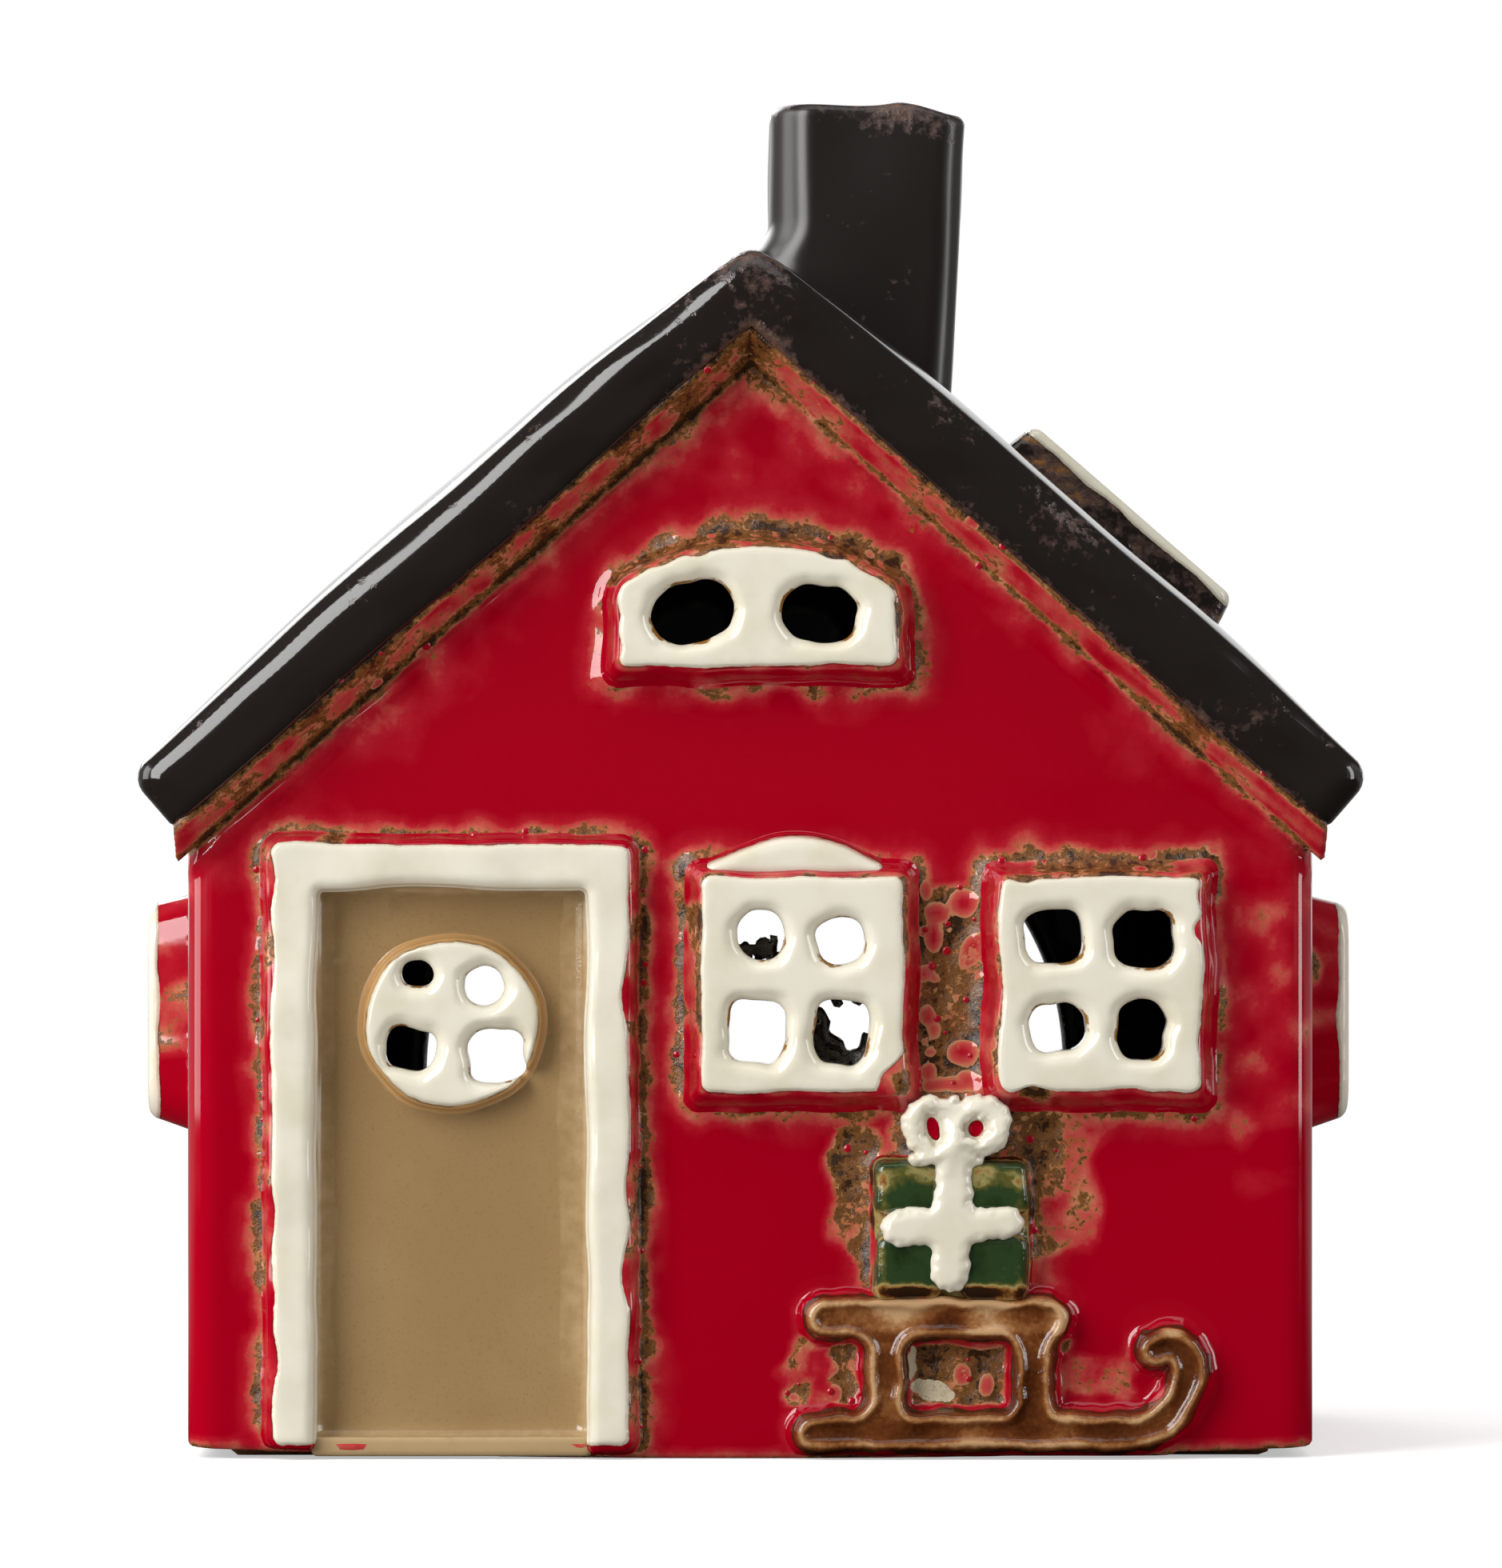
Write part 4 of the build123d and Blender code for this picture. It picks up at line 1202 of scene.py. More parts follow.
# Name, description and default, 0 to 255, of each colour
colour_table = {
    "red": ("Red", "Thick red glaze", 166, 0, 27),
    "rose": ("Rose", "Red glaze where it starts to thin", 180, 30, 44),
    "pink": ("Pink", "Thin red glaze", 198, 82, 74),
    "peach": ("Peach", "Red glaze just before it breaks", 202, 130, 96),
    "golden": ("Golden", "Line beside the crust", 200, 156, 106),
    "crust_edge": ("Crust edge", "Ochre line where red glaze ends", 150, 104, 48),
    "crust_dark": ("Dark crust", "Nearly black flecks of the crust", 44, 26, 12),
    "crust_light": ("Light crust", "Ochre specks of the crust", 164, 108, 50),
    "crust": ("Crust", "Brown crust where red glaze is gone", 128, 82, 38),
    "crust_deep": ("Deep crust", "Crust where it is oldest", 98, 61, 27),
    # Inside stands for painted shade: near black on the inner walls, deep in the pane holes, on the
    # lumps in two panes and at the door's back
    "inside": ("Inside", "Dark glaze on the inner walls", 22, 15, 11),
    "cream": ("Cream", "Thick cream glaze", 236, 230, 212),
    "cream_deep": ("Deep cream", "Cream glaze where it pools", 226, 218, 194),
    "cream_thin": ("Thin cream", "Cream glaze at its border", 214, 200, 168),
    "black": ("Black", "Thick black glaze", 33, 28, 25),
    "mottle": ("Mottle", "Brown mottles in the black glaze", 74, 57, 52),
    "roof_brown": ("Roof brown", "Black glaze where it thins", 96, 70, 54),
    "khaki": ("Khaki", "The door's glaze", 168, 139, 97),
    "khaki_deep": ("Deep khaki", "The door's glaze where it is thick", 160, 130, 88),
    "khaki_speck": ("Khaki speck", "Fine specks in the door's glaze", 138, 110, 70),
    # Thin khaki is also a painted sheen: the paler bands beside the door's left and right edges
    # stand in for a reflection
    "khaki_thin": ("Thin khaki", "The door's glaze beside its frame", 186, 158, 116),
    "khaki_edge": ("Khaki edge", "Tan rims on the door", 196, 152, 98),
    "brown": ("Brown", "The sled's glaze", 106, 57, 26),
    "brown_dark": ("Dark brown", "The sled's glaze where it pools", 68, 32, 12),
    "brown_thin": ("Thin brown", "The sled's glaze where it thins", 150, 98, 55),
    "brown_edge": ("Brown edge", "The sled's glaze over its edges", 196, 156, 112),
    "green": ("Green", "The gift's glaze", 45, 65, 35),
    "green_dark": ("Dark green", "The gift's glaze where it pools", 31, 46, 24),
    "olive": ("Olive", "The gift's glaze where it thins", 94, 90, 42),
    "olive_edge": ("Olive edge", "The gift's glaze over its edges", 158, 146, 92),
    "clay": ("Clay", "Bare clay under the house", 172, 122, 84),
    "clay_dark": ("Dark clay", "Grit in the bare clay", 132, 86, 56),
    "foil": ("Foil", "The tealight's cup", 226, 226, 228),
    "foil_dark": ("Dark foil", "Draw marks in the cup", 186, 187, 190),
    "wax": ("Wax", "The tealight's wax", 240, 238, 230),
    "wax_deep": ("Deep wax", "Clouds in the wax", 228, 224, 212),
    "cotton": ("Cotton", "The wick", 226, 222, 208),
    "cotton_dark": ("Dark cotton", "Furrows of the wick", 176, 168, 146),
}
HouseColours.__annotations__ = {
    key: colour_property(*values) for key, values in colour_table.items()
}


def length(name, description, default, low, high, precision=3):
    """A setting in metres."""
    return FloatProperty(
        name=name, description=description, default=default, min=low, max=high,
        precision=precision, unit="LENGTH", subtype="DISTANCE",
    )


def fine_length(name, description, default, low, high):
    """A setting that is given in millimetres and kept in metres."""
    return length(name, description, default * MM, low * MM, high * MM, 5)


def power(name, description, default):
    """A light's power in watts."""
    return FloatProperty(
        name=name, description=description, default=default, min=0, max=500, unit="POWER",
    )


def strength(name, description, default):
    """How strong an even light is."""
    return FloatProperty(
        name=name, description=description, default=default, min=0, max=2, subtype="FACTOR",
    )


class HouseSizes(bpy.types.PropertyGroup):
    """How finely and how unevenly the house is modelled."""

    wall_step: fine_length("Wall step", "Grid step of the walls and the roof", 0.62, 0.4, 2)
    relief_step: fine_length("Relief step", "Grid step of windows, door and sled", 0.34, 0.2, 1)
    roof_droop: fine_length(
        "Roof droop", "How far the slopes bend down at the front and the back", 2.1, 0, 3
    )
    bead_spacing: fine_length("Bead spacing", "Least way between two beads of glaze", 1.5, 0.5, 10)
    bead_radius: fine_length("Bead radius", "Radius of the largest bead of glaze", 0.52, 0.1, 2)
    cup_flutes: IntProperty(
        name="Cup flutes", description="Pressed flutes round the tealight's cup", default=48,
        min=12, max=96,
    )


class StageSettings(bpy.types.PropertyGroup):
    """Camera, lights and backdrop."""

    camera_distance: length(
        "Camera distance", "From the roof's front edge to the camera", 1.05, 0.3, 5
    )
    camera_side: length(
        "Camera side", "How far right of the middle the camera stands", -0.008, -1, 1
    )
    camera_height: length(
        "Camera height", "Height of the camera and of what it aims at", 0.075, 0, 1
    )
    picture_height: length(
        "Picture height", "Height that the picture takes in at the roof's edge", 0.1733, 0.1, 1
    )
    side_power: power("Side lights", "Power of the left softbox; others take a share", 11.5)
    top_power: power("Top light", "Power of the softbox above", 2.2)
    room_light: strength("Room light", "Strength of the even light from all round", 0.3)
    card_light: strength(
        "Side cards", "Strength of the dim cards that gloss mirrors at the sides", 0.3
    )


def settings():
    """The sizes as they are set in the scene."""
    return bpy.context.scene.tealight_house_sizes


def glaze(name):
    """A material by name, made when it is first asked for."""
    found = bpy.data.materials.get(name)
    if found is not None:
        return found
    colours = bpy.context.scene.tealight_house_colours
    if name not in plain_materials:
        over, under = name.split("_on_")
        return layered(name, colours, overs[over], unders[under])
    layers, depth, ior, more = plain_materials[name]
    material, sheet, shader = new_material(name, ior)
    for key, value in more.items():
        shader.inputs[key].default_value = value
    dress(sheet, shader, depth, *layers(sheet, colours))
    return material


class HousePiece(bpy.types.Operator):
    """Shared manners of the operators that make pieces."""

    bl_options = {"REGISTER", "UNDO"}


# Grid steps that differ from the reliefs' or the walls' own, as shares of it
step_shares = {
    "glazed_roof": 1.2, "glazed_door_frame": 1.15, "glazed_door": 1.2,
    "glazed_round_window": 0.9, "glazed_sled": 0.85, "glazed_gift_box": 0.8,
    "glazed_ribbon": 0.8,
}


def coarse_step(name):
    """Grid step of a wall or the roof, in millimetres."""
    return settings().wall_step / MM * step_shares.get(name, 1.0)


def fine_step(name):
    """Grid step of a relief, in millimetres."""
    return settings().relief_step / MM * step_shares.get(name, 1.0)


def skirted(body, w, surface, fillet=skirt_fillet):
    """A relief with a fillet of glaze between it and its wall."""
    return round_min(body, w - surface + skirt_sink, fillet)


def trimmed(body, w, outline, reach=skirt_reach, foot=skirt_foot):
    """A relief cut off beside its outline and at its foot inside the wall."""
    return shared(body, outline - reach, -w - foot)


def relief(outline, proud, edge, surface, holes=None, foot=skirt_foot):
    """Field of a relief that grows out of a wall: outline takes u, v and lean."""

    def field(u, v, w):
        lean = np.clip(1 - w / proud, -0.2, 1.0)
        body = skirted(round_max(outline(u, v, lean), w - proud, edge), w, surface(u, v))
        if holes is not None:
            flare = 0.9 * ramp(w, proud - 1.6, proud + 0.3)
            body = round_max(body, flare - holes(u, v), 0.8)
        return trimmed(body, w, outline(u, v, 1.0), foot=foot)

    return field


def bare_relief(u, v, w):
    """The glaze on the sides of a relief: bare at its foot, thicker and patchy above."""
    side = 0.66 * ramp(w, 0.05, 0.7)
    patches = 0.5 * ramp(w, 0.2, 0.8) * ramp(ripple(u + 0.6 * w, v + 0.6 * w, 9, 51), 0.7, 1.5)
    brim = 0.42 * ramp(w, window_proud - 1.7, window_proud - 0.5)
    return bare_front(u, v) - side + patches + brim


def crowned(crown):
    """The glaze on the sides of a window whose top side is bare; crown says how bare, 0 to 1."""

    def rule(u, v, w):
        streaks = 0.16 * ripple(3 * u, v + w, 5, 48) + 0.1 * ripple(u, v + 2 * w, 1.6, 49)
        return np.maximum(bare_relief(u, v, w), crown(u, v) * (0.9 + streaks))

    return rule


def attic_crown(u, v):
    """Where the attic window's arched side lies."""
    over = ramp(attic_outline(u, v, 0), 0.0, 0.4)
    return over * ramp(v, attic_face[2] + 8.4, attic_face[2] + 9.6)


def right_crown(u, v):
    """Where the right window's top side lies."""
    low_u, high_u, low_v, high_v = right_face
    ends = ramp(u, low_u + 2, low_u + 5), ramp(-u, -high_u + 1, -high_u + 4)
    return ramp(v - high_v, 0.0, 0.4) * ends[0] * ends[1]


def front_pool(u, v, w):
    """Distance to the nearest red pool on the front wall."""
    return pool_front(u, v)


def no_pool(u, v, w):
    """Stands for a place with no red pool near."""
    return FAR


front_marks = {"bare": bare_relief, "pool": front_pool}


def limits(face, reach, high_w, low_w=grid_foot):
    """The grid's corners round a face."""
    low = (face[0] - reach, face[2] - reach, low_w)
    high = (face[1] + reach, face[3] + reach, high_w)
    return low, high


def on_front(name, field, box, marks, finish, node, slot):
    """Make a relief of the front wall; box is the grid's two corners."""
    marks = {**front_marks, **marks}
    sculpt(name, field, front, *box, fine_step(name), marks, finish, (node,), slot)


class TEALIGHT_OT_walls(HousePiece):
    """Make the four walls with their coves, doorway, panes and arch"""

    bl_idname = "tealight.walls"
    bl_label = "Walls"

    def execute(self, context):
        def gable(u, v, w, surface):
            drop = 0.3 + (cove_height - 0.3) * (1 - np.clip(w / cove_reach, 0, 1))
            body = round_max(np.abs(u) - half_width, w - surface, corner_radius)
            cove = shared(rake_drop(u, v) - drop, w - cove_reach, -w - 1, np.abs(u) - eave_low_x)
            body = round_min(body, cove, 0.4)
            body = shared(body, -w - wall_thickness, -rake_drop(u, v) - 0.5)
            return round_max(body, foot_line(u) - v, 0.7)

        def crud(u, v, w):
            middle_u, middle_v, half_u, half_v = middle_of(middle_face)
            places = [
                (2 * half_u * across, 2 * half_v * up, *shape) for across, up, *shape in pane_crud
            ]
            lumps = nearest(FAR, *ovals_at(u, v, middle_u, middle_v, places))
            lumps = lumps + 0.3 * ripple(u, v, 1.7, 44)
            return round_max(lumps, np.abs(w + 2.2) - 1.5 - 0.3 * ripple(u, v, 2, 45), 0.6)

        def front_field(u, v, w):
            body = gable(u, v, w, front_surface(u, v))
            for face, shares in (
                (right_face, right_pane_shares), (middle_face, middle_pane_shares),
                (attic_face, attic_pane_shares),
            ):
                body = round_max(body, wall_pane_room - pane_field(u, v, face, shares), pane_radius)
            doorway = np.maximum(door_opening(u, v), door_face[2] - v)
            return np.maximum(round_min(body, crud(u, v, w), 0.4), -doorway)

        def back_field(u, v, w):
            body = gable(u, v, w, back_surface(u, v))
            arch = np.maximum(arch_outline(u, v), wall_thickness - v)
            return round_max(body, -arch, 1.2)

        walls = (
            ("glazed_front_wall", front, front_field, bare_front, "front_wall"),
            ("glazed_back_wall", back, back_field, bare_back, "back_wall"),
        )
        for name, patch, field, bare, node in walls:
            sculpt(
                name, field, patch,
                (-eave_low_x - 1, -1, -wall_thickness - 1),
                (eave_low_x + 1, inner_ridge + 2, cove_reach + 1),
                coarse_step(name),
                {
                    "bare": lambda u, v, w, rule=bare: rule(u, v),
                    "pool": front_pool,
                    "blot": lambda u, v, w, shown=node == "front_wall": blots(u, v) * shown,
                    # The depth mark drives painted shade: places deeper in the wall, and the lumps
                    # in two panes, turn near black
                    "depth": lambda u, v, w: np.minimum(
                        2.2 * (crud(u, v, w) < 0.4) - w, half_width - np.abs(u)
                    ),
                },
                "glossy_red", (node,), "red_glaze",
            )
        self.side_wall("glazed_left_wall", left, "left_wall")
        self.side_wall("glazed_right_wall", right, "right_wall")
        return {"FINISHED"}

    def side_wall(self, name, patch, node):
        def field(u, v, w):
            lean = np.clip((v - wall_height) / (eave_low_z - wall_height), 0, 1)
            flush = ramp(half_depth - np.abs(u), 4.5, 9)
            lap = 0.05 - 0.45 * ramp(np.abs(u), side_reach - 1.2, side_reach)
            out = w - (side_surface(u, v) * flush + lap) * (1 - lean)
            out = out - (eave_low_x - half_width) * lean
            under = (v - eave_low_z) * pitch_cos + (half_width + w - eave_low_x) * pitch_sin
            body = shared(out, np.abs(u) - side_reach, -w - wall_thickness, under - 0.4)
            body = round_max(body, foot_lift - v, 0.7)
            panes = pane_field(u, v, side_face, plain_pane_shares)
            return round_max(body, wall_pane_room - panes, pane_radius)

        sculpt(
            name, field, patch,
            (-side_reach - 1.5, foot_lift - 1, -wall_thickness - 1),
            (side_reach + 1.5, inner_ridge - inner_half_width * pitch_tan + 2, 3),
            coarse_step(name),
            {
                "bare": lambda u, v, w: bare_side(u, v),
                "pool": no_pool,
                # The depth mark drives painted shade on the wall's inner face and deep in its pane
                # holes
                "depth": lambda u, v, w: -w,
            },
            "glossy_red", (node,), "red_glaze",
        )


def node_group(name, inputs):
    """A new Geometry Nodes tree, its sheet and what it is given; inputs are labels and kinds."""
    tree = bpy.data.node_groups.new(name, "GeometryNodeTree")
    tree.interface.new_socket("Geometry", in_out="OUTPUT", socket_type="NodeSocketGeometry")
    for label, kind in inputs:
        tree.interface.new_socket(label, in_out="INPUT", socket_type="NodeSocket" + kind)
    sheet = Sheet(tree)
    return tree, sheet, sheet.add("NodeGroupInput").outputs


def hand_out(sheet, copies, material):
    """Make copies real, dress them in their material and hand them out of the tree."""
    real = sheet.add("GeometryNodeRealizeInstances", {"Geometry": copies.outputs[0]})
    inputs = {"Geometry": real.outputs[0], "Material": material}
    dressed = sheet.add("GeometryNodeSetMaterial", inputs)
    sheet.add("NodeGroupOutput", {0: dressed.outputs[0]})


class TEALIGHT_OT_beads(HousePiece):
    """Scatter small beads of red glaze over the crust of the front wall"""

    bl_idname = "tealight.beads"
    bl_label = "Glaze beads"

    def execute(self, context):
        sizes = settings()
        bare_enough, facing_front, most_in_a_square_metre = 0.86, -0.8, 120000.0
        flatness, seed = 0.5, 7
        tree, sheet, given = node_group("glaze_beads", (
            ("Geometry", "Geometry"), ("Spacing", "Float"), ("Bead radius", "Float"),
            ("Seed", "Int"), ("Material", "Material"),
        ))
        bare = sheet.add("GeometryNodeInputNamedAttribute", {"Name": "bare"}).outputs["Attribute"]
        normal = sheet.add("GeometryNodeInputNormal").outputs[0]
        out = sheet.add("ShaderNodeSeparateXYZ", {"Vector": normal}).outputs["Y"]
        crusty = sheet.math("MULTIPLY", sheet.math("GREATER_THAN", bare, bare_enough),
                            sheet.math("LESS_THAN", out, facing_front))
        points = sheet.add("GeometryNodeDistributePointsOnFaces", {
            "Mesh": given["Geometry"], "Selection": crusty, "Distance Min": given["Spacing"],
            "Density Max": most_in_a_square_metre, "Seed": given["Seed"],
        }, distribute_method="POISSON")
        ball = sheet.add("GeometryNodeMeshIcoSphere", {
            "Radius": given["Bead radius"], "Subdivisions": 3,
        })
        place = sheet.add("GeometryNodeInputPosition").outputs[0]
        height = sheet.add("ShaderNodeSeparateXYZ", {"Vector": place}).outputs["Z"]
        share = sheet.math("DIVIDE", height, given["Bead radius"])
        glazed = ball.outputs["Mesh"]
        for name, value in (("bare", sheet.spread(share, 0.1, 0.9, 0.66, 0.3)), ("pool", FAR)):
            glazed = sheet.add("GeometryNodeStoreNamedAttribute", {
                "Geometry": glazed, "Name": name, "Value": value,
            }).outputs[0]
        chance = sheet.add("FunctionNodeRandomValue", {
            "Min": 0.35, "Max": 1.0, "Seed": given["Seed"],
        }, data_type="FLOAT").outputs["Value"]
        size = sheet.add("ShaderNodeCombineXYZ", {
            "X": chance, "Y": chance, "Z": sheet.math("MULTIPLY", chance, flatness),
        }).outputs[0]
        copies = sheet.add("GeometryNodeInstanceOnPoints", {
            "Points": points.outputs["Points"], "Instance": glazed,
            "Rotation": points.outputs["Rotation"], "Scale": size,
        })
        hand_out(sheet, copies, given["Material"])
        values = {"Spacing": sizes.bead_spacing, "Bead radius": sizes.bead_radius, "Seed": seed,
                  "Material": glaze("glossy_red")}
        ground = bpy.data.objects["glazed_front_wall"].data.copy()
        mesh = grown(tree, values, "glaze_beads", ground)
        if not mesh.polygons:
            raise RuntimeError("no bead found a place on the crust")
        make_piece("glaze_beads", mesh, glaze("glossy_red"), HOUSE, ())
        return {"FINISHED"}


def on_slope(x, z):
    """How high over the face of its slope and how far down the slope a place is."""
    reach, rise = np.abs(x), z - ridge_height
    return reach * pitch_sin + rise * pitch_cos, reach * pitch_cos - rise * pitch_sin


def flue_outline(x, y):
    """Distance to the flue, seen from above."""
    return box_2d(x, y, flue_x - flue_half, flue_x + flue_half,
                  flue_y - flue_half, flue_y + flue_half, flue_radius)


class TEALIGHT_OT_roof(HousePiece):
    """Make the roof, bent down a little at its edges"""

    bl_idname = "tealight.roof"
    bl_label = "Roof"

    def execute(self, context):
        droop = settings().roof_droop / MM
        window_face = roof_window_face()
        half = roof_depth / 2
        eave_radius, rake_radius, under_radius = 2.6, 3.2, 0.9

        def field(x, y, z):
            height, down = on_slope(x, z)
            soft_x = np.sqrt(x * x + ridge_softness**2) - 0.2 * ridge_softness
            top = soft_x * pitch_sin + (z - ridge_height) * pitch_cos
            edge = np.clip(np.abs(y) / half, 0, 1)
            bend = droop * (1 - edge**7) * ramp(down, -8, 30) * (1 - ramp(down, 55, 95) ** 2)
            top = top - bend + 0.16 * ripple(x, y, 30, 81) + 0.015 * ripple(x, y, 8, 82)
            lower = 0.2 * ripple(x, y, 22, 83) * ramp(np.abs(y), half_depth, half)
            body = round_max(top, down - slope_length, eave_radius)
            rim = 0.3 + 0.12 * ripple(x + z, x - z, 15, 84)
            body = round_max(body, np.abs(y) - half + rim, rake_radius)
            body = round_max(body, -height - roof_thickness + lower, under_radius)
            body = np.maximum(body, -flue_outline(x, y))
            panes = pane_field(y, np.where(x > 0, -down, 99.0), window_face, plain_pane_shares)
            return round_max(body, slab_pane_room - panes, pane_radius)

        def bare(x, y, z):
            height, down = on_slope(x, z)
            lower = ramp(-height, roof_thickness - 1.6, roof_thickness + 0.2)
            rim = 0.14 * hump(height, 1.6) * ramp(np.abs(y), half - 5, half - 1)
            eave = 0.1 * ramp(down, slope_length - 4, slope_length)
            apex = 0.36 * hump(x, 9.0) + 0.12 * ramp(x, 4, 30)
            return 0.08 + rim + 0.28 * lower + eave + apex + 0.1 * ripple(x, z, 12, 85)

        sculpt(
            "glazed_roof", field, upright,
            (-slope_reach - 1.5, -half - 1, eave_low_z - 1.5),
            (slope_reach + 1.5, half + 1, ridge_height + 1),
            coarse_step("glazed_roof"), {"bare": bare}, "glossy_black",
            ("roof_left", "roof_right"), "black_glaze",
        )
        return {"FINISHED"}


def roof_window_face():
    """The roof window's face on the right slope, from the middle of its box."""
    low, high = corners("roof_window")
    middle = slope_right.local((low + high) / 2)
    wide, long = roof_window_size
    shift = (side_draft - bottom_draft) / 2
    return (
        middle[0] - wide / 2, middle[0] + wide / 2,
        middle[1] - long / 2 - shift, middle[1] + long / 2 - shift,
    )


class TEALIGHT_OT_chimney(HousePiece):
    """Make the chimney, flared where it grows out of the roof"""

    bl_idname = "tealight.chimney"
    bl_label = "Chimney"

    def execute(self, context):
        low, high = chimney_low, chimney_high
        width = high[1] - low[1]
        taper, splay_reach, splay_height, rim_slant, grid_step = 0.9, 2.1, 5.6, 1.4, 0.5

        def field(x, y, z):
            climb = (z - ridge_height + 14) / (high[2] - ridge_height + 14)
            middle = flue_x - 0.3 + taper * climb
            half = width / 2 - 0.3 + taper * climb
            soft = 3.4 + 2.8 * ramp(middle - x, 0, half)
            foot = ramp(ridge_height + splay_height - z, 0, splay_height) ** 1.6
            splay = splay_reach * foot * ramp(middle - x, 0, half)
            across = np.abs(x - middle) - half - splay
            shell = round_max(across, np.abs(y - flue_y) - width / 2, soft)
            shell = shell + 0.14 * ripple(x + y, z, 16, 91)
            slant = rim_slant * ramp(x, middle + 5, middle + half)
            lump = 0.35 * np.exp(-(((x - middle - 3.6) / 1.6) ** 2 + ((y - flue_y + 8) / 3) ** 2))
            rim = z - high[2] + 0.45 + slant - lump + 0.12 * ripple(x, y, 12, 92)
            body = round_max(shell, rim, 1.2)
            roof = on_slope(x, z)[0] - 0.8
            body = shared(round_min(body, roof, 1.8), shell - 2.4, -roof - 2.6)
            return round_max(body, -flue_outline(x, y), 1.2)

        def bare(x, y, z):
            top = ramp(z, high[2] - 7, high[2])
            foot = on_slope(x, z)[0]
            top = 0.42 * top * (0.6 + 0.4 * ramp(x, flue_x - 6, flue_x + 4))
            return 0.17 + top + 0.25 * hump(foot, 3) + 0.08 * ripple(x, z, 9, 86)

        sculpt(
            "glazed_chimney", field, upright,
            (low[0] - 3, low[1] - 3, low[2] - 4), (high[0] + 3, high[1] + 3, high[2] + 1),
            grid_step, {"bare": bare, "dull": lambda x, y, z: 1.0}, "glossy_black",
            ("chimney",), "black_glaze",
        )
        return {"FINISHED"}


def pierced(name, node, patch, face, proud, shares, finish, surface, bare, outline, corner=None):
    """Make a window block with panes through it; outline takes u, v and lean."""

    def holes(u, v):
        return pane_field(u, v, face, shares)

    sculpt(
        name, relief(outline, proud - 0.05, 1.0, surface, holes), patch,
        *limits(face, skirt_reach + bottom_draft + 0.8, proud + 0.8), fine_step(name),
        {
            "bare": bare,
            "pool": front_pool if patch is front else no_pool,
            "cover": cream_rule(lambda u, v: outline(u, v, 0.0), proud, patch is not front, corner),
            "stain": stain_rule(holes, proud),
        },
        finish, (node,), "cream_glaze",
    )


class TEALIGHT_OT_windows(HousePiece):
    """Make the square windows on the walls and on the roof"""

    bl_idname = "tealight.windows"
    bl_label = "Square windows"

    def execute(self, context):
        side = (side_window_proud, plain_pane_shares, "cream_on_red", side_surface,
                bare_side_relief)
        blocks = (
            ("right_window", front, right_face, window_proud, right_pane_shares, "cream_on_red",
             front_surface, crowned(right_crown)),
            ("middle_window", front, middle_face, window_proud, middle_pane_shares,
             "cream_on_red", front_surface, bare_relief),
            ("left_side_window", left, side_face, *side),
            ("right_side_window", right, side_face, *side),
            ("roof_window", slope_right, roof_window_face(), roof_window_proud,
             plain_pane_shares, "cream_on_black", roof_surface, bare_roof_relief),
        )
        for node, patch, face, *looks in blocks:
            soft = (4.4, 0.4) if patch in (left, right) else ()

            def outline(u, v, lean, face=face, soft=soft):
                return block_outline(face, u, v, lean, *soft)

            corner = (face[1], face[2]) if face is middle_face else None
            pierced("glazed_" + node, node, patch, face, *looks, outline, corner)
        return {"FINISHED"}


def cream_rule(outline, proud, over_edge, bare_corner=None):
    """How far a place lies inside the cream glaze's border, in millimetres.

    With over_edge the border runs over the sides of the relief, else round its face; from a
    bare corner the cream has drawn back.
    """

    def rule(u, v, w):
        if over_edge:
            return w - proud + 1.3 + 0.14 * ripple(u, v, 9, 52)
        if bare_corner is not None:
            corner = (bare_corner[0] - u + 0.85 * (v - bare_corner[1])) / 1.31 - 3.0
            corner = corner + 0.25 * ripple(u, v, 3, 60)
            inner = np.minimum(-outline(u, v) - 0.2, corner)
            return np.minimum(inner, w + 1.1)
        border = -outline(u, v) - 0.2 - 0.2 * ripple(u, v, 7, 52) ** 2
        return np.minimum(border, w + 1.1 + 0.4 * ripple(u, v, 4, 53))

    return rule


def stain_rule(holes, proud):
    """How brown the cream glaze is beside the panes."""

    def rule(u, v, w):
        beside = hump(holes(u, v) - 0.1, 0.35)
        deep = ramp(-w, -proud + 1.2, -proud + 3.0)
        return 0.66 * np.maximum(beside, 0.7 * deep) * (0.7 + 0.5 * ripple(u, v, 6, 54))

    return rule


def bare_side_relief(u, v, w):
    """The glaze on the sides of a side wall's window."""
    side = 0.72 * ramp(w, 0.05, 0.8)
    patches = 0.4 * ramp(w, 0.2, 0.8) * ramp(ripple(u + 0.6 * w, v + 0.6 * w, 9, 55), 0.6, 1.4)
    return bare_side(u, v) - side + patches


def roof_surface(u, v):
    """How far the roof stands out from its slope where the window sits."""
    return 0.6 + 0.0 * u + 0.0 * v


def bare_roof_relief(u, v, w):
    """The black glaze on the sides of the roof window."""
    return 0.3 + 0.3 * ramp(w, 1.6, 4.4) + 0.16 * ripple(u, v + 2 * w, 4, 56)


class TEALIGHT_OT_attic(HousePiece):
    """Make the arched attic window"""

    bl_idname = "tealight.attic"
    bl_label = "Attic window"

    def execute(self, context):
        pierced("glazed_attic_window", "attic_window", front, attic_face, window_proud,
                attic_pane_shares, "cream_on_red", front_surface, crowned(attic_crown),
                attic_outline)
        return {"FINISHED"}


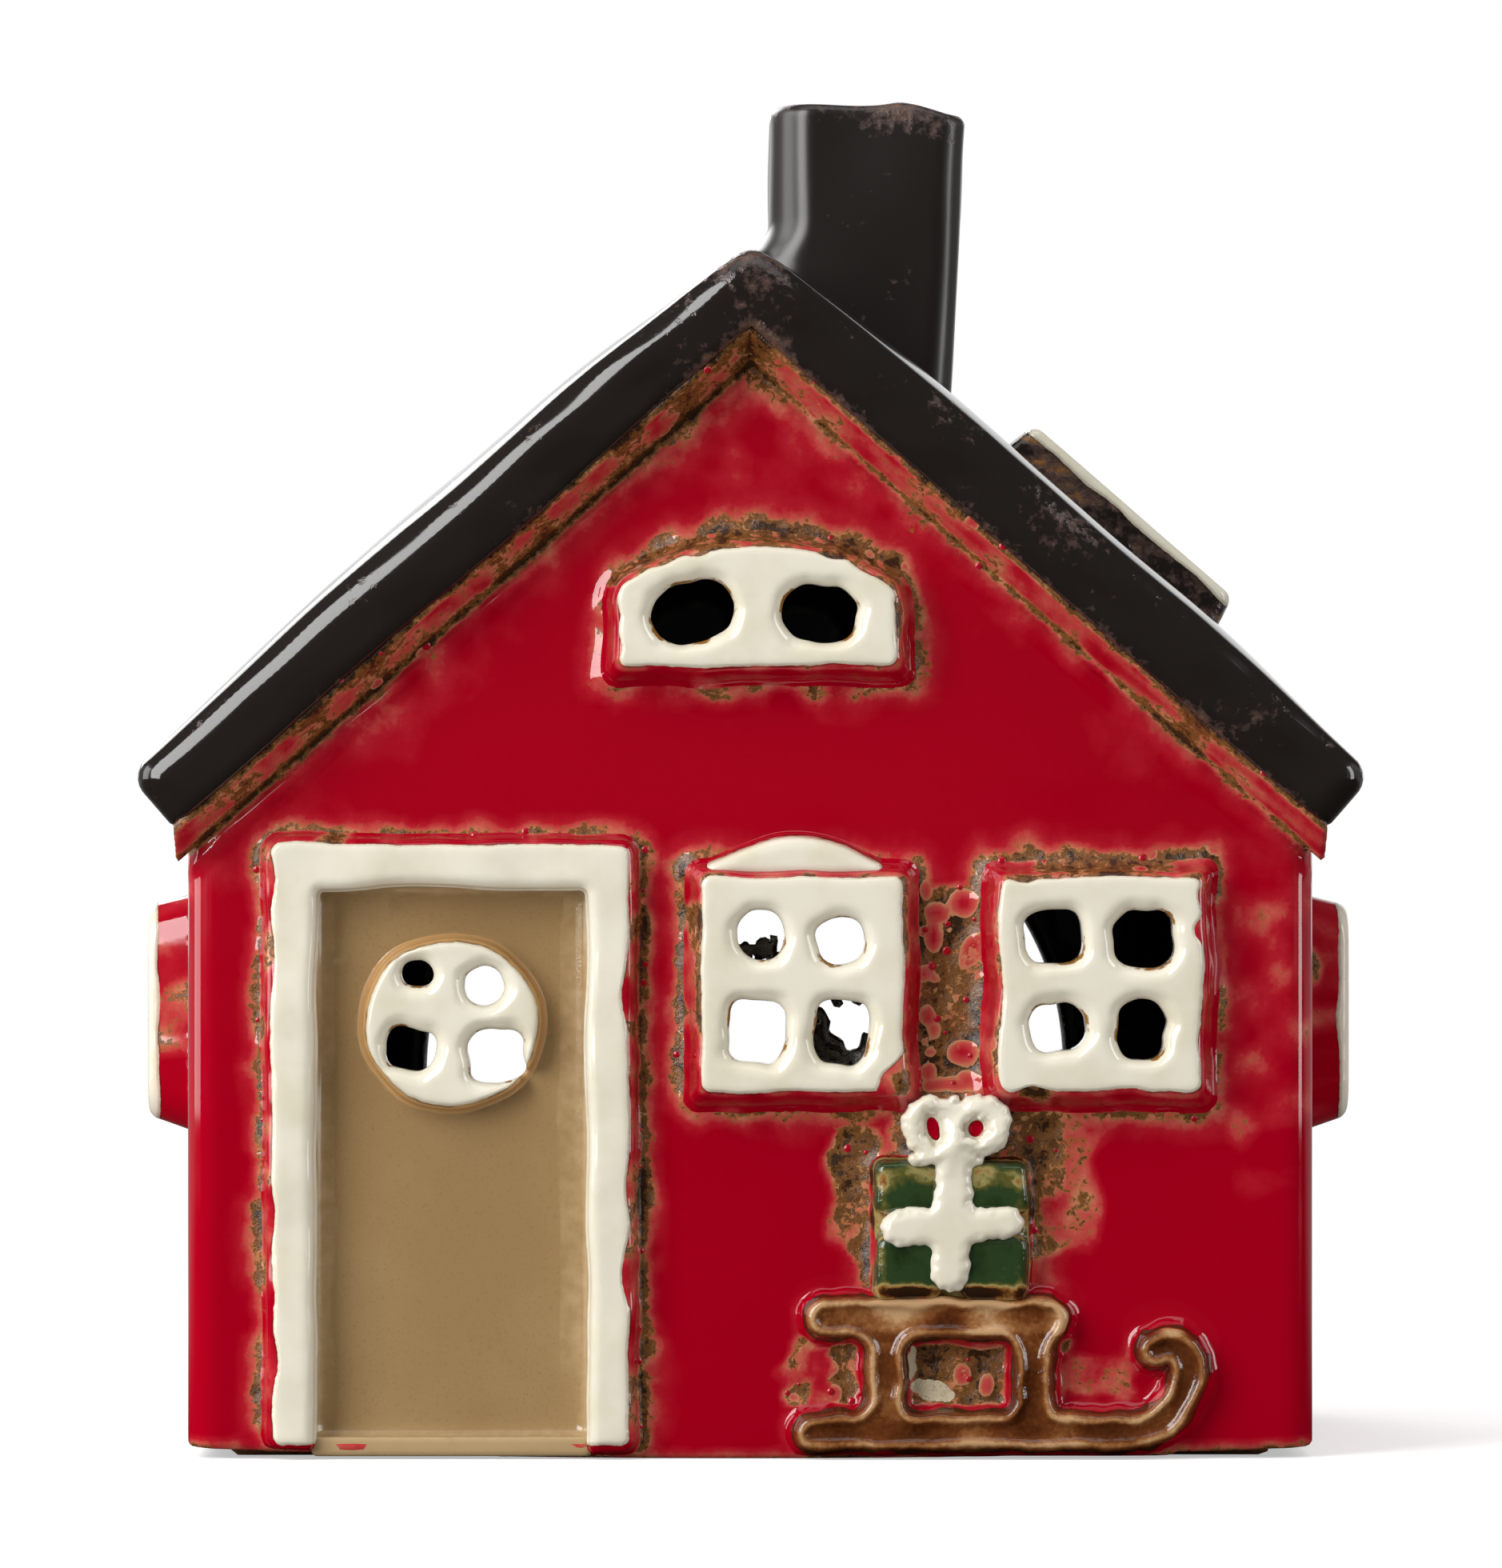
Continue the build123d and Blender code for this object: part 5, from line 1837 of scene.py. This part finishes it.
class TEALIGHT_OT_hood(HousePiece):
    """Make the arched hood on the middle window"""

    bl_idname = "tealight.hood"
    bl_label = "Hood"

    def execute(self, context):
        low_u, high_u, low_v, high_v = hood_face
        middle = (low_u + high_u) / 2 - 0.2
        left_reach, right_reach, proud, edge_radius = 10.2, 9.0, 3.3, 1.2

        def outline(u, v, lean=0.0):
            across = np.abs(u - middle) / np.where(u < middle, left_reach, right_reach)
            bell = np.maximum(1 - across**2, 0) ** 1.25
            top = low_v - 0.35 + (high_v - low_v + 0.3) * bell
            body = round_max((v - top) * 0.92, low_v - 1.6 - v, 0.3)
            body = round_max(body, right_reach * (across - 1.0), 0.4)
            return body + 0.08 * ripple(u, v, 6, 57) - 0.3 * lean

        on_front(
            "glazed_hood", relief(outline, proud, edge_radius, front_surface),
            limits(hood_face, skirt_reach + 2, 4.2),
            {
                "cover": lambda u, v, w: np.minimum(0.2 - outline(u, v), w - 0.4),
                "stain": lambda u, v, w: 0.0 * u,
            },
            "cream_on_red", "window_hood", "cream_glaze",
        )
        return {"FINISHED"}


class TEALIGHT_OT_door(HousePiece):
    """Make the door, its frame and the round window on it"""

    bl_idname = "tealight.door"
    bl_label = "Door"

    def execute(self, context):
        self.door_frame()
        self.door_panel()
        self.round_window()
        return {"FINISHED"}

    def door_frame(self):
        proud, edge_radius = 3.15, 1.35

        def band(u, v, lean):
            inner = door_opening(u, v) + 0.3 * ramp(lean, 0.9, 1.0)
            outer = frame_outline(u, v) - 0.5 * lean
            return round_max(outer, -inner, 0.8)

        def field(u, v, w):
            lean = np.clip(1 - w / proud, 0, 1.0)
            face = w - proud - 0.15 * ripple(u, v, 12, 58)
            body = round_max(band(u, v, lean), face, edge_radius)
            body = skirted(body, w, front_surface(u, v))
            body = trimmed(body, w, frame_outline(u, v), foot=door_recess + 0.3)
            body = np.maximum(body, -door_opening(u, v) - 0.3)
            return round_max(body, foot_line(u) + 0.25 - v, 0.6)

        def cream(u, v, w):
            rim = -frame_outline(u, v) - 0.45 - 0.35 * ripple(u, v, 13, 59) ** 2
            return np.minimum(rim, w + 1.3)

        on_front(
            "glazed_door_frame", field, limits(frame_face, skirt_reach + 1, proud + 1, -2.8),
            {
                "cover": cream,
                "stain": lambda u, v, w: 0.9 * ramp(-w, -0.3, 1.2) + 0.3 * ramp(v, 8, 2),
            },
            "cream_on_red", "door_frame", "cream_glaze",
        )

    def door_panel(self):
        low_u, high_u, low_v, high_v = door_face
        # Place and height of two lumps of glaze near the top of the door, in millimetres
        pimples = ((-45.8, 55.2, 0.55), (-40.3, 61.7, 0.4))

        def inside(u, v):
            return -box_2d(u, v, low_u, high_u, low_v, high_v, 1.4)

        def top(u, v):
            depth = inside(u, v)
            rise = 1.1 * fading(depth, 0.9, 1.2)
            lumps = 0.0
            for x, z, height in pimples:
                lumps = lumps + height * np.exp(-(((u - x) ** 2 + (v - z) ** 2) / 0.8))
            return -door_recess + rise + 0.07 * ripple(u, v, 24, 62) + lumps

        def field(u, v, w):
            sides = box_2d(u, v, low_u - 0.5, high_u + 0.5, low_v - 0.5, high_v + 0.4, 0.8)
            panel = shared(w - top(u, v), sides, -w - wall_thickness)
            lip = box_2d(u, v, low_u - 0.4, high_u + 0.4, 0.35, low_v + 0.5, 0.6)
            lip = round_max(lip, w - 1.1, 0.5)
            lip = np.maximum(lip, -w - 1.5)
            body = round_min(panel, lip, 0.8)
            panes = pane_field(u, v, round_face, round_pane_shares)
            return round_max(body, slab_pane_room - panes, pane_radius)

        def bare(u, v, w):
            rim = 0.75 * fading(inside(u, v), 1.3, 1.5)
            ring = oval_2d(u, v, *middle_of(round_face))
            near = 0.6 * fading(ring, 1.0, 1.5)
            # Painted sheen: paler bands beside the door's left and right edges, wider at the right,
            # stand in for the glaze's reflection of the lights
            wide = np.where(u < 0.5 * (low_u + high_u), 2.2, 3.4) + 0.3 * ripple(u, v, 14, 88)
            beside = np.minimum(u - low_u, high_u - u) - wide
            band = 0.47 * ramp(-beside, -0.15, 0.15) * ramp(v, low_v - 4, low_v + 12)
            return shared(rim, near, band)

        sculpt(
            "glazed_door", field, front,
            (low_u - 1.5, -0.4, -wall_thickness - 0.6), (high_u + 1.5, high_v + 1.5, 1.6),
            fine_step("glazed_door"),
            # The depth mark drives painted shade in the pane holes and at the door's back
            {"bare": bare, "depth": lambda u, v, w: -w - door_recess},
            "glossy_khaki", ("door_panel",), "tan_glaze",
        )

    def round_window(self):
        middle_u, middle_v, half_u, half_v = middle_of(round_face)
        proud = 3.35

        def outline(u, v, lean=0.0):
            oval = oval_2d(u, v, middle_u, middle_v, half_u - 0.3, half_v - 0.3)
            return oval - 0.3 * lean + 0.14 * ripple(u, v, 8, 63)

        def holes(u, v):
            return pane_field(u, v, round_face, round_pane_shares)

        flat = relief(outline, proud, 1.1, lambda u, v: 0.05 * ripple(u, v, 20, 64), holes, 0.6)

        def field(u, v, w):
            return flat(u, v, w + door_recess)

        def bare(u, v, w):
            ring = outline(u, v)
            wide = 0.4 * fading(ring, 2)
            return 0.95 * hump(ring, 1.0) + wide

        sculpt(
            "glazed_round_window", field, front,
            *limits(round_face, skirt_reach + 1, proud - door_recess + 0.8, -3.0),
            fine_step("glazed_round_window"),
            {
                "bare": bare,
                "cover": lambda u, v, w: np.minimum(-outline(u, v) - 0.3, w + 3.0),
                "stain": lambda u, v, w: stain_rule(holes, proud)(u, v, w + door_recess),
            },
            "cream_on_khaki", ("round_window",), "cream_glaze",
        )


class TEALIGHT_OT_sled(HousePiece):
    """Make the sled with raised edges and a channel along its bars"""

    bl_idname = "tealight.sled"
    bl_label = "Sled"

    def execute(self, context):
        proud, channel_depth, fillet, reach = 3.1, 0.65, 1.7, 2.2

        def field(u, v, w):
            shape = sled_outline(u, v)
            channel = channel_depth * ramp(-shape, 0.5, 1.6)
            body = round_max(shape - 0.3 * np.clip(1 - w / proud, 0, 1), w - proud + channel, 0.8)
            body = skirted(body, w, front_surface(u, v), fillet)
            return round_max(trimmed(body, w, shape, reach), 0.3 - v, 0.5)

        def rub(u, v, w):
            shape = sled_outline(u, v)
            ridge = hump(shape + 0.55, 0.34) * ramp(w, 1.7, 2.6)
            seat = ramp(v, seat_z - 2.2, seat_z - 1) * (0.2 + 0.22 * ripple(u, v, 9, 65))
            side = 0.2 * ramp(w, 2.2, 1.0)
            thin = 0.36 + 0.36 * ridge + seat * ramp(w, 1.5, 2.4) - side
            return thin + 0.06 * ripple(u, v, 9, 64)

        on_front(
            "glazed_sled", field, limits(sled_face, 3.5, proud + 0.8),
            {
                "rub": rub,
                "blot": lambda u, v, w: blots(u, v),
                "cover": lambda u, v, w: np.minimum(
                    0.55 - sled_outline(u, v) + 0.25 * ripple(u, v, 4, 63),
                    w - 1.0 + 0.3 * ripple(u, v, 6, 61),
                ),
            },
            "brown_on_red", "sled", "brown_glaze",
        )
        return {"FINISHED"}


class TEALIGHT_OT_gift(HousePiece):
    """Make the gift of four pillows, its ribbon and its bow"""

    bl_idname = "tealight.gift"
    bl_label = "Gift"

    def execute(self, context):
        self.box()
        self.ribbon()
        return {"FINISHED"}

    def box(self):
        low_u, high_u, low_v, high_v = gift_face
        proud, furrow_half, furrow_floor, furrow_radius = 3.5, 1.0, 2.0, 1.5

        def pillows(u, v):
            return np.minimum(np.abs(u - gift_x), np.abs(v - cross_z)) - furrow_half

        def field(u, v, w):
            shape = gift_outline(u, v)
            body = round_max(shape - 0.5 * np.clip(1 - w / proud, 0, 1), w - proud, 1.0)
            body = round_max(body, -np.maximum(pillows(u, v), furrow_floor - w), furrow_radius)
            return trimmed(skirted(body, w, front_surface(u, v)), w, shape)

        def rub(u, v, w):
            shape = gift_outline(u, v)
            edge = hump(shape + 0.7, 0.7) * ramp(w, 1.6, 2.8)
            across = hump(v - high_v + 1.9, 1.2) * ramp(w, 2, 3)
            foot = ramp(v, low_v + 2.4, low_v + 0.9) * 0.55
            side = 0.75 * ramp(w, 1.9, 0.7)
            furrow = 0.4 * ramp(pillows(u, v), 1.3, 0.3) * ramp(w, 3.4, 2.6)
            thin = 0.24 + 0.26 * edge + 0.34 * across + shared(foot, side, furrow)
            return thin + 0.1 * ripple(u, v, 5, 66)

        on_front(
            "glazed_gift_box", field, limits(gift_face, skirt_reach + 0.8, proud + 0.8),
            {
                "rub": rub,
                "cover": lambda u, v, w: np.minimum(
                    0.5 - gift_outline(u, v) + 0.3 * ripple(u, v, 5, 62), w + 0.4
                ),
            },
            "green_on_red", "gift_box", "green_glaze",
        )

    def ribbon(self):
        low_u, high_u, low_v, high_v = gift_face
        proud, edge_radius, cross_foot, bow_foot = 4.5, 1.35, 1.8, -0.8

        def field(u, v, w):
            cross = round_max(ribbon_outline(u, v), w - proud, edge_radius)
            cross = np.maximum(cross, cross_foot - w)
            swell = 0.25 * ripple(u, v, 6, 67)
            bow = round_max(bow_outline(u, v), w - proud - 0.1 - swell, edge_radius)
            bow = np.maximum(bow, bow_foot - w)
            pool = round_max(bow_eyes(u, v) - 0.5, w - proud + 1.1, 0.7)
            pool = np.maximum(pool, bow_foot - w)
            return np.minimum(round_min(cross, bow, 0.5), pool)

        on_front(
            "glazed_ribbon", field,
            ((low_u - 2, low_v - 1, -1.2), (high_u + 2, high_v + 9.5, proud + 1.2)),
            {
                "cover": lambda u, v, w: np.minimum(
                    np.minimum(1.0, w - 0.5), np.maximum(bow_eyes(u, v) + 0.25, w - proud + 0.75)
                ),
                "stain": lambda u, v, w: 0.25 * ramp(-w, -2.8, -1.8),
            },
            "cream_on_red", "gift_ribbon", "cream_glaze",
        )


class TEALIGHT_OT_floor(HousePiece):
    """Make the clay floor that the tealight stands on"""

    bl_idname = "tealight.floor"
    bl_label = "Floor"

    def execute(self, context):
        low, high = corners("floor_slab")
        grid_step = 1.0

        def field(x, y, z):
            sides = round_max(np.abs(x) - high[0] - 0.4, np.abs(y) - high[1] - 0.4, 1.0)
            foot = round_max(sides, -z + 0.05, 1.0)
            return np.maximum(foot, z - high[2] - 0.12 * ripple(x, y, 26, 68))

        sculpt(
            "clay_floor", field, upright,
            (low[0] - 2, low[1] - 2, -1), (high[0] + 2, high[1] + 2, high[2] + 1.5),
            grid_step, {}, "fired_clay", ("floor_slab",), "bare_clay",
        )
        return {"FINISHED"}


def grown(tree, values, name, ground=None):
    """The smooth mesh that a node tree makes from its inputs, over a ground mesh if given."""
    holder_mesh = ground or bpy.data.meshes.new(name + "_ground")
    holder = bpy.data.objects.new(name + "_ground", holder_mesh)
    bpy.context.scene.collection.objects.link(holder)
    modifier = holder.modifiers.new("grow", "NODES")
    modifier.node_group = tree
    for socket in tree.interface.items_tree:
        if socket.in_out == "INPUT" and socket.name in values:
            modifier[socket.identifier] = values[socket.name]
    graph = bpy.context.evaluated_depsgraph_get()
    mesh = bpy.data.meshes.new_from_object(holder.evaluated_get(graph))
    mesh.name = name
    mesh.polygons.foreach_set("use_smooth", [True] * len(mesh.polygons))
    bpy.data.objects.remove(holder)
    bpy.data.meshes.remove(holder_mesh)
    return mesh


def lathe(name, profile, turns, nodes, flute=None):
    """A closed round piece of foil from a profile of radius and height, both in millimetres."""
    angles = np.arange(turns) * math.tau / turns
    rows = []
    for radius, height in profile:
        reach = radius + (flute(angles, height) if flute else 0.0 * angles)
        rows.append(np.stack([reach * np.cos(angles), reach * np.sin(angles),
                              np.full(turns, height)], 1))
    near = np.arange(turns)
    far = (near + 1) % turns
    faces = []
    for row in range(len(profile) - 1):
        faces += (np.stack([near, far, far + turns, near + turns], 1) + row * turns).tolist()
    faces += [near[::-1].tolist(), (near + (len(profile) - 1) * turns).tolist()]
    mesh = bpy.data.meshes.new(name)
    mesh.from_pydata((np.concatenate(rows) * MM).tolist(), [], faces)
    mesh.polygons.foreach_set("use_smooth", [len(face) == 4 for face in faces])
    mesh.update()
    return make_piece(name, mesh, glaze("pressed_foil"), TEALIGHT, nodes)


class TEALIGHT_OT_candle(HousePiece):
    """Make the tealight: fluted cup, wax, wick base and wick"""

    bl_idname = "tealight.candle"
    bl_label = "Tealight"

    def execute(self, context):
        self.cup()
        self.wax()
        self.wick_base()
        self.wick()
        return {"FINISHED"}

    def cup(self):
        low, high = corners("tealight_cup")
        flutes = settings().cup_flutes
        foil, lip, foot = 0.5, 0.65, 1.2
        outer, base, top = high[0], low[2], high[2]
        wall = outer - 2 * lip + foil
        draft = 0.6

        def flute(angles, height):
            share = ramp(height, base + 1.6, base + 4) * ramp(height, top - 1.6, top - 3.2)
            return 0.11 * share * np.cos(flutes * angles)

        def side(radius, height):
            return radius - draft * (top - height) / (top - base), height

        rows = 22
        rise = np.linspace(base + foot, top - 1.4, rows)
        profile = [(wall - draft - foot, base), (wall - draft - 0.5 * foot, base + 0.12),
                   (wall - draft - 0.14 * foot, base + 0.45 * foot)]
        profile += [side(wall, height) for height in rise]
        for turn in range(-60, 211, 15):  # round the rolled lip, in degrees
            bend = math.radians(turn)
            profile.append((outer - lip + lip * math.cos(bend), top - lip + lip * math.sin(bend)))
        profile += [side(wall - foil, height) for height in rise[::-1]]
        profile += [(wall - draft - foil - 0.3 * foot, base + foil + 0.25 * foot),
                    (wall - draft - foil - foot, base + foil)]
        lathe("tealight_cup_foil", profile, 4 * flutes, ("tealight_cup",), flute)

    def wick_base(self):
        low, high = corners("wick_base")
        radius, base, top = high[0], low[2], high[2]
        neck = 1.25
        profile = [(radius - 0.1, base), (radius, base + 0.05), (radius, top - 0.05),
                   (radius - 0.1, top), (radius - 0.9, top), (radius - 1.1, top - 0.06),
                   (radius - 1.5, top - 0.06), (radius - 1.7, top), (neck + 0.4, top),
                   (neck, top)]
        turns = 96
        lathe("tealight_wick_base", profile, turns, ("wick_base",))

    def wick(self):
        """Three twisted yarns, swept along helixes with Geometry Nodes"""
        low, high = corners("wick")
        tree, sheet, given = node_group("wick_yarns", (
            ("Height", "Float"), ("Turns", "Float"), ("Helix radius", "Float"),
            ("Yarn radius", "Float"), ("Yarns", "Int"), ("Material", "Material"),
        ))
        helix = sheet.add("GeometryNodeCurveSpiral", {
            "Resolution": 24, "Rotations": given["Turns"], "Start Radius": given["Helix radius"],
            "End Radius": given["Helix radius"], "Height": given["Height"],
        })
        ring = sheet.add("GeometryNodeCurvePrimitiveCircle", {
            "Resolution": 12, "Radius": given["Yarn radius"],
        })
        swept = sheet.add("GeometryNodeCurveToMesh", {
            "Curve": helix.outputs[0], "Profile Curve": ring.outputs["Curve"], "Fill Caps": True,
        })
        points = sheet.add("GeometryNodePoints", {"Count": given["Yarns"]})
        index = sheet.add("GeometryNodeInputIndex").outputs[0]
        turn = sheet.math("DIVIDE", sheet.math("MULTIPLY", index, math.tau), given["Yarns"])
        spin = sheet.add("ShaderNodeCombineXYZ", {"Z": turn})
        copies = sheet.add("GeometryNodeInstanceOnPoints", {
            "Points": points.outputs[0], "Instance": swept.outputs[0], "Rotation": spin.outputs[0],
        })
        hand_out(sheet, copies, given["Material"])
        yarns_across, turns, end_gap = 2.1, 4.5, 0.2
        yarn = 0.5 * (high[0] - low[0]) / yarns_across
        values = {
            "Height": (high[2] - low[2] - 2 * end_gap) * MM, "Turns": turns,
            "Helix radius": (0.5 * (high[0] - low[0]) - yarn) * MM, "Yarn radius": yarn * MM,
            "Yarns": 3, "Material": glaze("wick_cotton"),
        }
        mesh = grown(tree, values, "tealight_wick")
        for point in mesh.vertices:
            point.co.z += (low[2] + end_gap) * MM
        make_piece("tealight_wick", mesh, glaze("wick_cotton"), TEALIGHT, ("wick",))

    def wax(self):
        low, high = corners("candle_wax")
        grid_step = 0.5

        def field(x, y, z):
            radius = np.hypot(x, y)
            side = radius - high[0] - 0.3 * (z - high[2]) / (high[2] - low[2])
            rim = 0.35 * hump(radius - high[0], 1.6)
            dish = 0.5 * hump(radius, 3.2) - rim
            top = z - high[2] + 0.35 - dish - 0.06 * ripple(x, y, 12, 69)
            body = round_max(side, top, 0.25)
            return np.maximum(body, low[2] - z)

        sculpt(
            "tealight_wax", field, upright,
            (low[0] - 1, low[1] - 1, low[2] - 1), (high[0] + 1, high[1] + 1, high[2] + 1),
            grid_step, {}, "candle_wax", ("candle_wax",), "wax", TEALIGHT,
        )


# Name, place and size in metres of each softbox, and the share of the power that it takes
softboxes = (
    ("softbox_left", (-0.74, -0.72, 0.52), (0.6, 0.95), "side_power", 1.0),
    ("softbox_right", (0.92, -0.28, 0.36), (0.22, 0.8), "side_power", 0.2),
    ("softbox_side", (-1.0, -0.05, 0.36), (0.55, 0.8), "side_power", 0.34),
    ("softbox_top", (0.0, -0.15, 1.05), (1.1, 0.7), "top_power", 1.0),
    ("softbox_back", (-0.5, 0.95, 0.6), (0.7, 0.5), "side_power", 0.4),
)


class TEALIGHT_OT_stage(bpy.types.Operator):
    """Make the floor, the backdrop, the lights, the world and the camera"""

    bl_idname = "tealight.stage"
    bl_label = "Stage"
    bl_options = {"REGISTER", "UNDO"}

    def execute(self, context):
        stage = context.scene.tealight_house_stage
        self.camera(context, stage)
        for name, place, size, power, share in softboxes:
            self.softbox(name, place, size, getattr(stage, power) * share)
        self.world(context, stage)
        self.floor()
        return {"FINISHED"}

    def camera(self, context, stage):
        data = bpy.data.cameras.new("camera")
        data.sensor_fit = "VERTICAL"
        data.sensor_height = 36.0
        data.lens = data.sensor_height * stage.camera_distance / stage.picture_height
        data.clip_start = 0.05
        data.clip_end = 20.0
        camera = bpy.data.objects.new("camera", data)
        near = -roof_depth / 2 * MM
        camera.location = (stage.camera_side, near - stage.camera_distance, stage.camera_height)
        target = Vector((0.0, near, stage.camera_height))
        camera.rotation_euler = (target - camera.location).to_track_quat("-Z", "Y").to_euler()
        context.scene.collection.objects.link(camera)
        context.scene.camera = camera

    def softbox(self, name, place, size, power):
        data = bpy.data.lights.new(name, "AREA")
        data.shape = "RECTANGLE"
        data.size, data.size_y = size
        data.energy = power
        light = bpy.data.objects.new(name, data)
        light.location = place
        house_middle = Vector((0, 0, 0.07))
        aim = house_middle - Vector(place)
        light.rotation_euler = aim.to_track_quat("-Z", "Y").to_euler()
        bpy.context.scene.collection.objects.link(light)

    def world(self, context, stage):
        world = bpy.data.worlds.new("studio")
        context.scene.world = world
        world.use_nodes = True
        world.node_tree.nodes.clear()
        sheet = Sheet(world.node_tree)
        path = sheet.add("ShaderNodeLightPath")
        place = sheet.add("ShaderNodeTexCoord").outputs["Generated"]
        parts = sheet.add("ShaderNodeSeparateXYZ", {"Vector": place})
        behind = sheet.spread(parts.outputs["Y"], 0.72, 0.92)
        shown = sheet.math("MAXIMUM", path.outputs["Is Camera Ray"],
                           path.outputs["Is Transmission Ray"])
        mirrored = sheet.math("MULTIPLY", path.outputs["Is Glossy Ray"], behind)
        shown = sheet.math("MAXIMUM", shown, mirrored)
        dim = sheet.math("MULTIPLY", path.outputs["Is Glossy Ray"], 0.9)
        level = sheet.math("MULTIPLY_ADD", dim, -stage.room_light, stage.room_light)
        sideways = sheet.spread(sheet.math("ABSOLUTE", parts.outputs["X"]), 0.7, 0.76)
        cards = sheet.math("MULTIPLY", path.outputs["Is Glossy Ray"], sideways)
        level = sheet.math("MULTIPLY_ADD", cards, stage.card_light, level)
        rise = sheet.spread(parts.outputs["Z"], -0.1, 0.9, 0.7, 1.5)
        level = sheet.math("MULTIPLY", level, rise)
        soft = sheet.add("ShaderNodeBackground", {"Color": white, "Strength": level})
        backdrop = sheet.add("ShaderNodeBackground", {"Color": white, "Strength": 1.0})
        both = sheet.add("ShaderNodeMixShader", {
            0: shown, 1: soft.outputs[0], 2: backdrop.outputs[0],
        })
        sheet.add("ShaderNodeOutputWorld", {"Surface": both.outputs[0]})

    def floor(self):
        mesh = bpy.data.meshes.new("studio_floor")
        reach = 3.0
        mesh.from_pydata([(-reach, -reach, 0), (reach, -reach, 0), (reach, reach, 0),
                          (-reach, reach, 0)], [], [(0, 1, 2, 3)])
        plane = bpy.data.objects.new("studio_floor", mesh)
        bpy.context.scene.collection.objects.link(plane)
        material = bpy.data.materials.new("studio_floor")
        material.use_nodes = True
        material.node_tree.nodes.clear()
        sheet = Sheet(material.node_tree)
        path = sheet.add("ShaderNodeLightPath")
        seen = sheet.math("MAXIMUM", path.outputs["Is Camera Ray"],
                          path.outputs["Is Transmission Ray"])
        bounce = sheet.mix(path.outputs["Is Diffuse Ray"], (0.8, 0.8, 0.8), (0.4, 0.4, 0.4))
        matt = sheet.add("ShaderNodeBsdfDiffuse", {"Color": bounce})
        glow = sheet.add("ShaderNodeEmission", {
            "Color": white, "Strength": sheet.math("MULTIPLY", seen, 0.45),
        })
        near = sheet.add("ShaderNodeAddShader", {0: matt.outputs[0], 1: glow.outputs[0]})
        plain = sheet.add("ShaderNodeEmission", {"Color": white, "Strength": 1.0})
        place = sheet.add("ShaderNodeTexCoord").outputs["Object"]
        reach = sheet.add("ShaderNodeVectorMath", {0: place}, operation="LENGTH").outputs["Value"]
        far = sheet.math("MULTIPLY", sheet.spread(reach, 0.14, 0.4), seen)
        both = sheet.add("ShaderNodeMixShader", {0: far, 1: near.outputs[0], 2: plain.outputs[0]})
        parts = sheet.add("ShaderNodeSeparateXYZ", {"Vector": place})
        behind = sheet.spread(parts.outputs["Y"], -0.05, 0.3)
        mirrored = sheet.add("ShaderNodeEmission", {
            "Color": white, "Strength": sheet.math("MULTIPLY", behind, 0.3),
        })
        both = sheet.add("ShaderNodeMixShader", {0: path.outputs["Is Glossy Ray"],
                                                 1: both.outputs[0], 2: mirrored.outputs[0]})
        sheet.add("ShaderNodeOutputMaterial", {"Surface": both.outputs[0]})
        mesh.materials.append(material)


class TEALIGHT_PT_panel(bpy.types.Panel):
    """Lists the steps that make the tealight house"""

    bl_label = "Tealight house"
    bl_idname = "TEALIGHT_PT_panel"
    bl_space_type = "VIEW_3D"
    bl_region_type = "UI"
    bl_category = "Tealight house"

    def draw(self, context):
        for operator in operators:
            self.layout.operator(operator.bl_idname)


operators = (
    TEALIGHT_OT_stage, TEALIGHT_OT_walls, TEALIGHT_OT_beads, TEALIGHT_OT_roof,
    TEALIGHT_OT_chimney, TEALIGHT_OT_windows, TEALIGHT_OT_attic, TEALIGHT_OT_hood,
    TEALIGHT_OT_door, TEALIGHT_OT_sled, TEALIGHT_OT_gift, TEALIGHT_OT_floor,
    TEALIGHT_OT_candle,
)
classes = (HouseColours, HouseSizes, StageSettings, *operators, TEALIGHT_PT_panel)


def register():
    for cls in classes:
        bpy.utils.register_class(cls)
    bpy.types.Scene.tealight_house_colours = PointerProperty(type=HouseColours)
    bpy.types.Scene.tealight_house_sizes = PointerProperty(type=HouseSizes)
    bpy.types.Scene.tealight_house_stage = PointerProperty(type=StageSettings)


def unregister():
    del bpy.types.Scene.tealight_house_stage
    del bpy.types.Scene.tealight_house_sizes
    del bpy.types.Scene.tealight_house_colours
    for cls in reversed(classes):
        bpy.utils.unregister_class(cls)


def main():
    register()
    bpy.context.scene.view_settings.view_transform = "Standard"
    for operator in operators:
        group, name = operator.bl_idname.split(".")
        getattr(getattr(bpy.ops, group), name)()


if __name__ == "__main__":
    main()
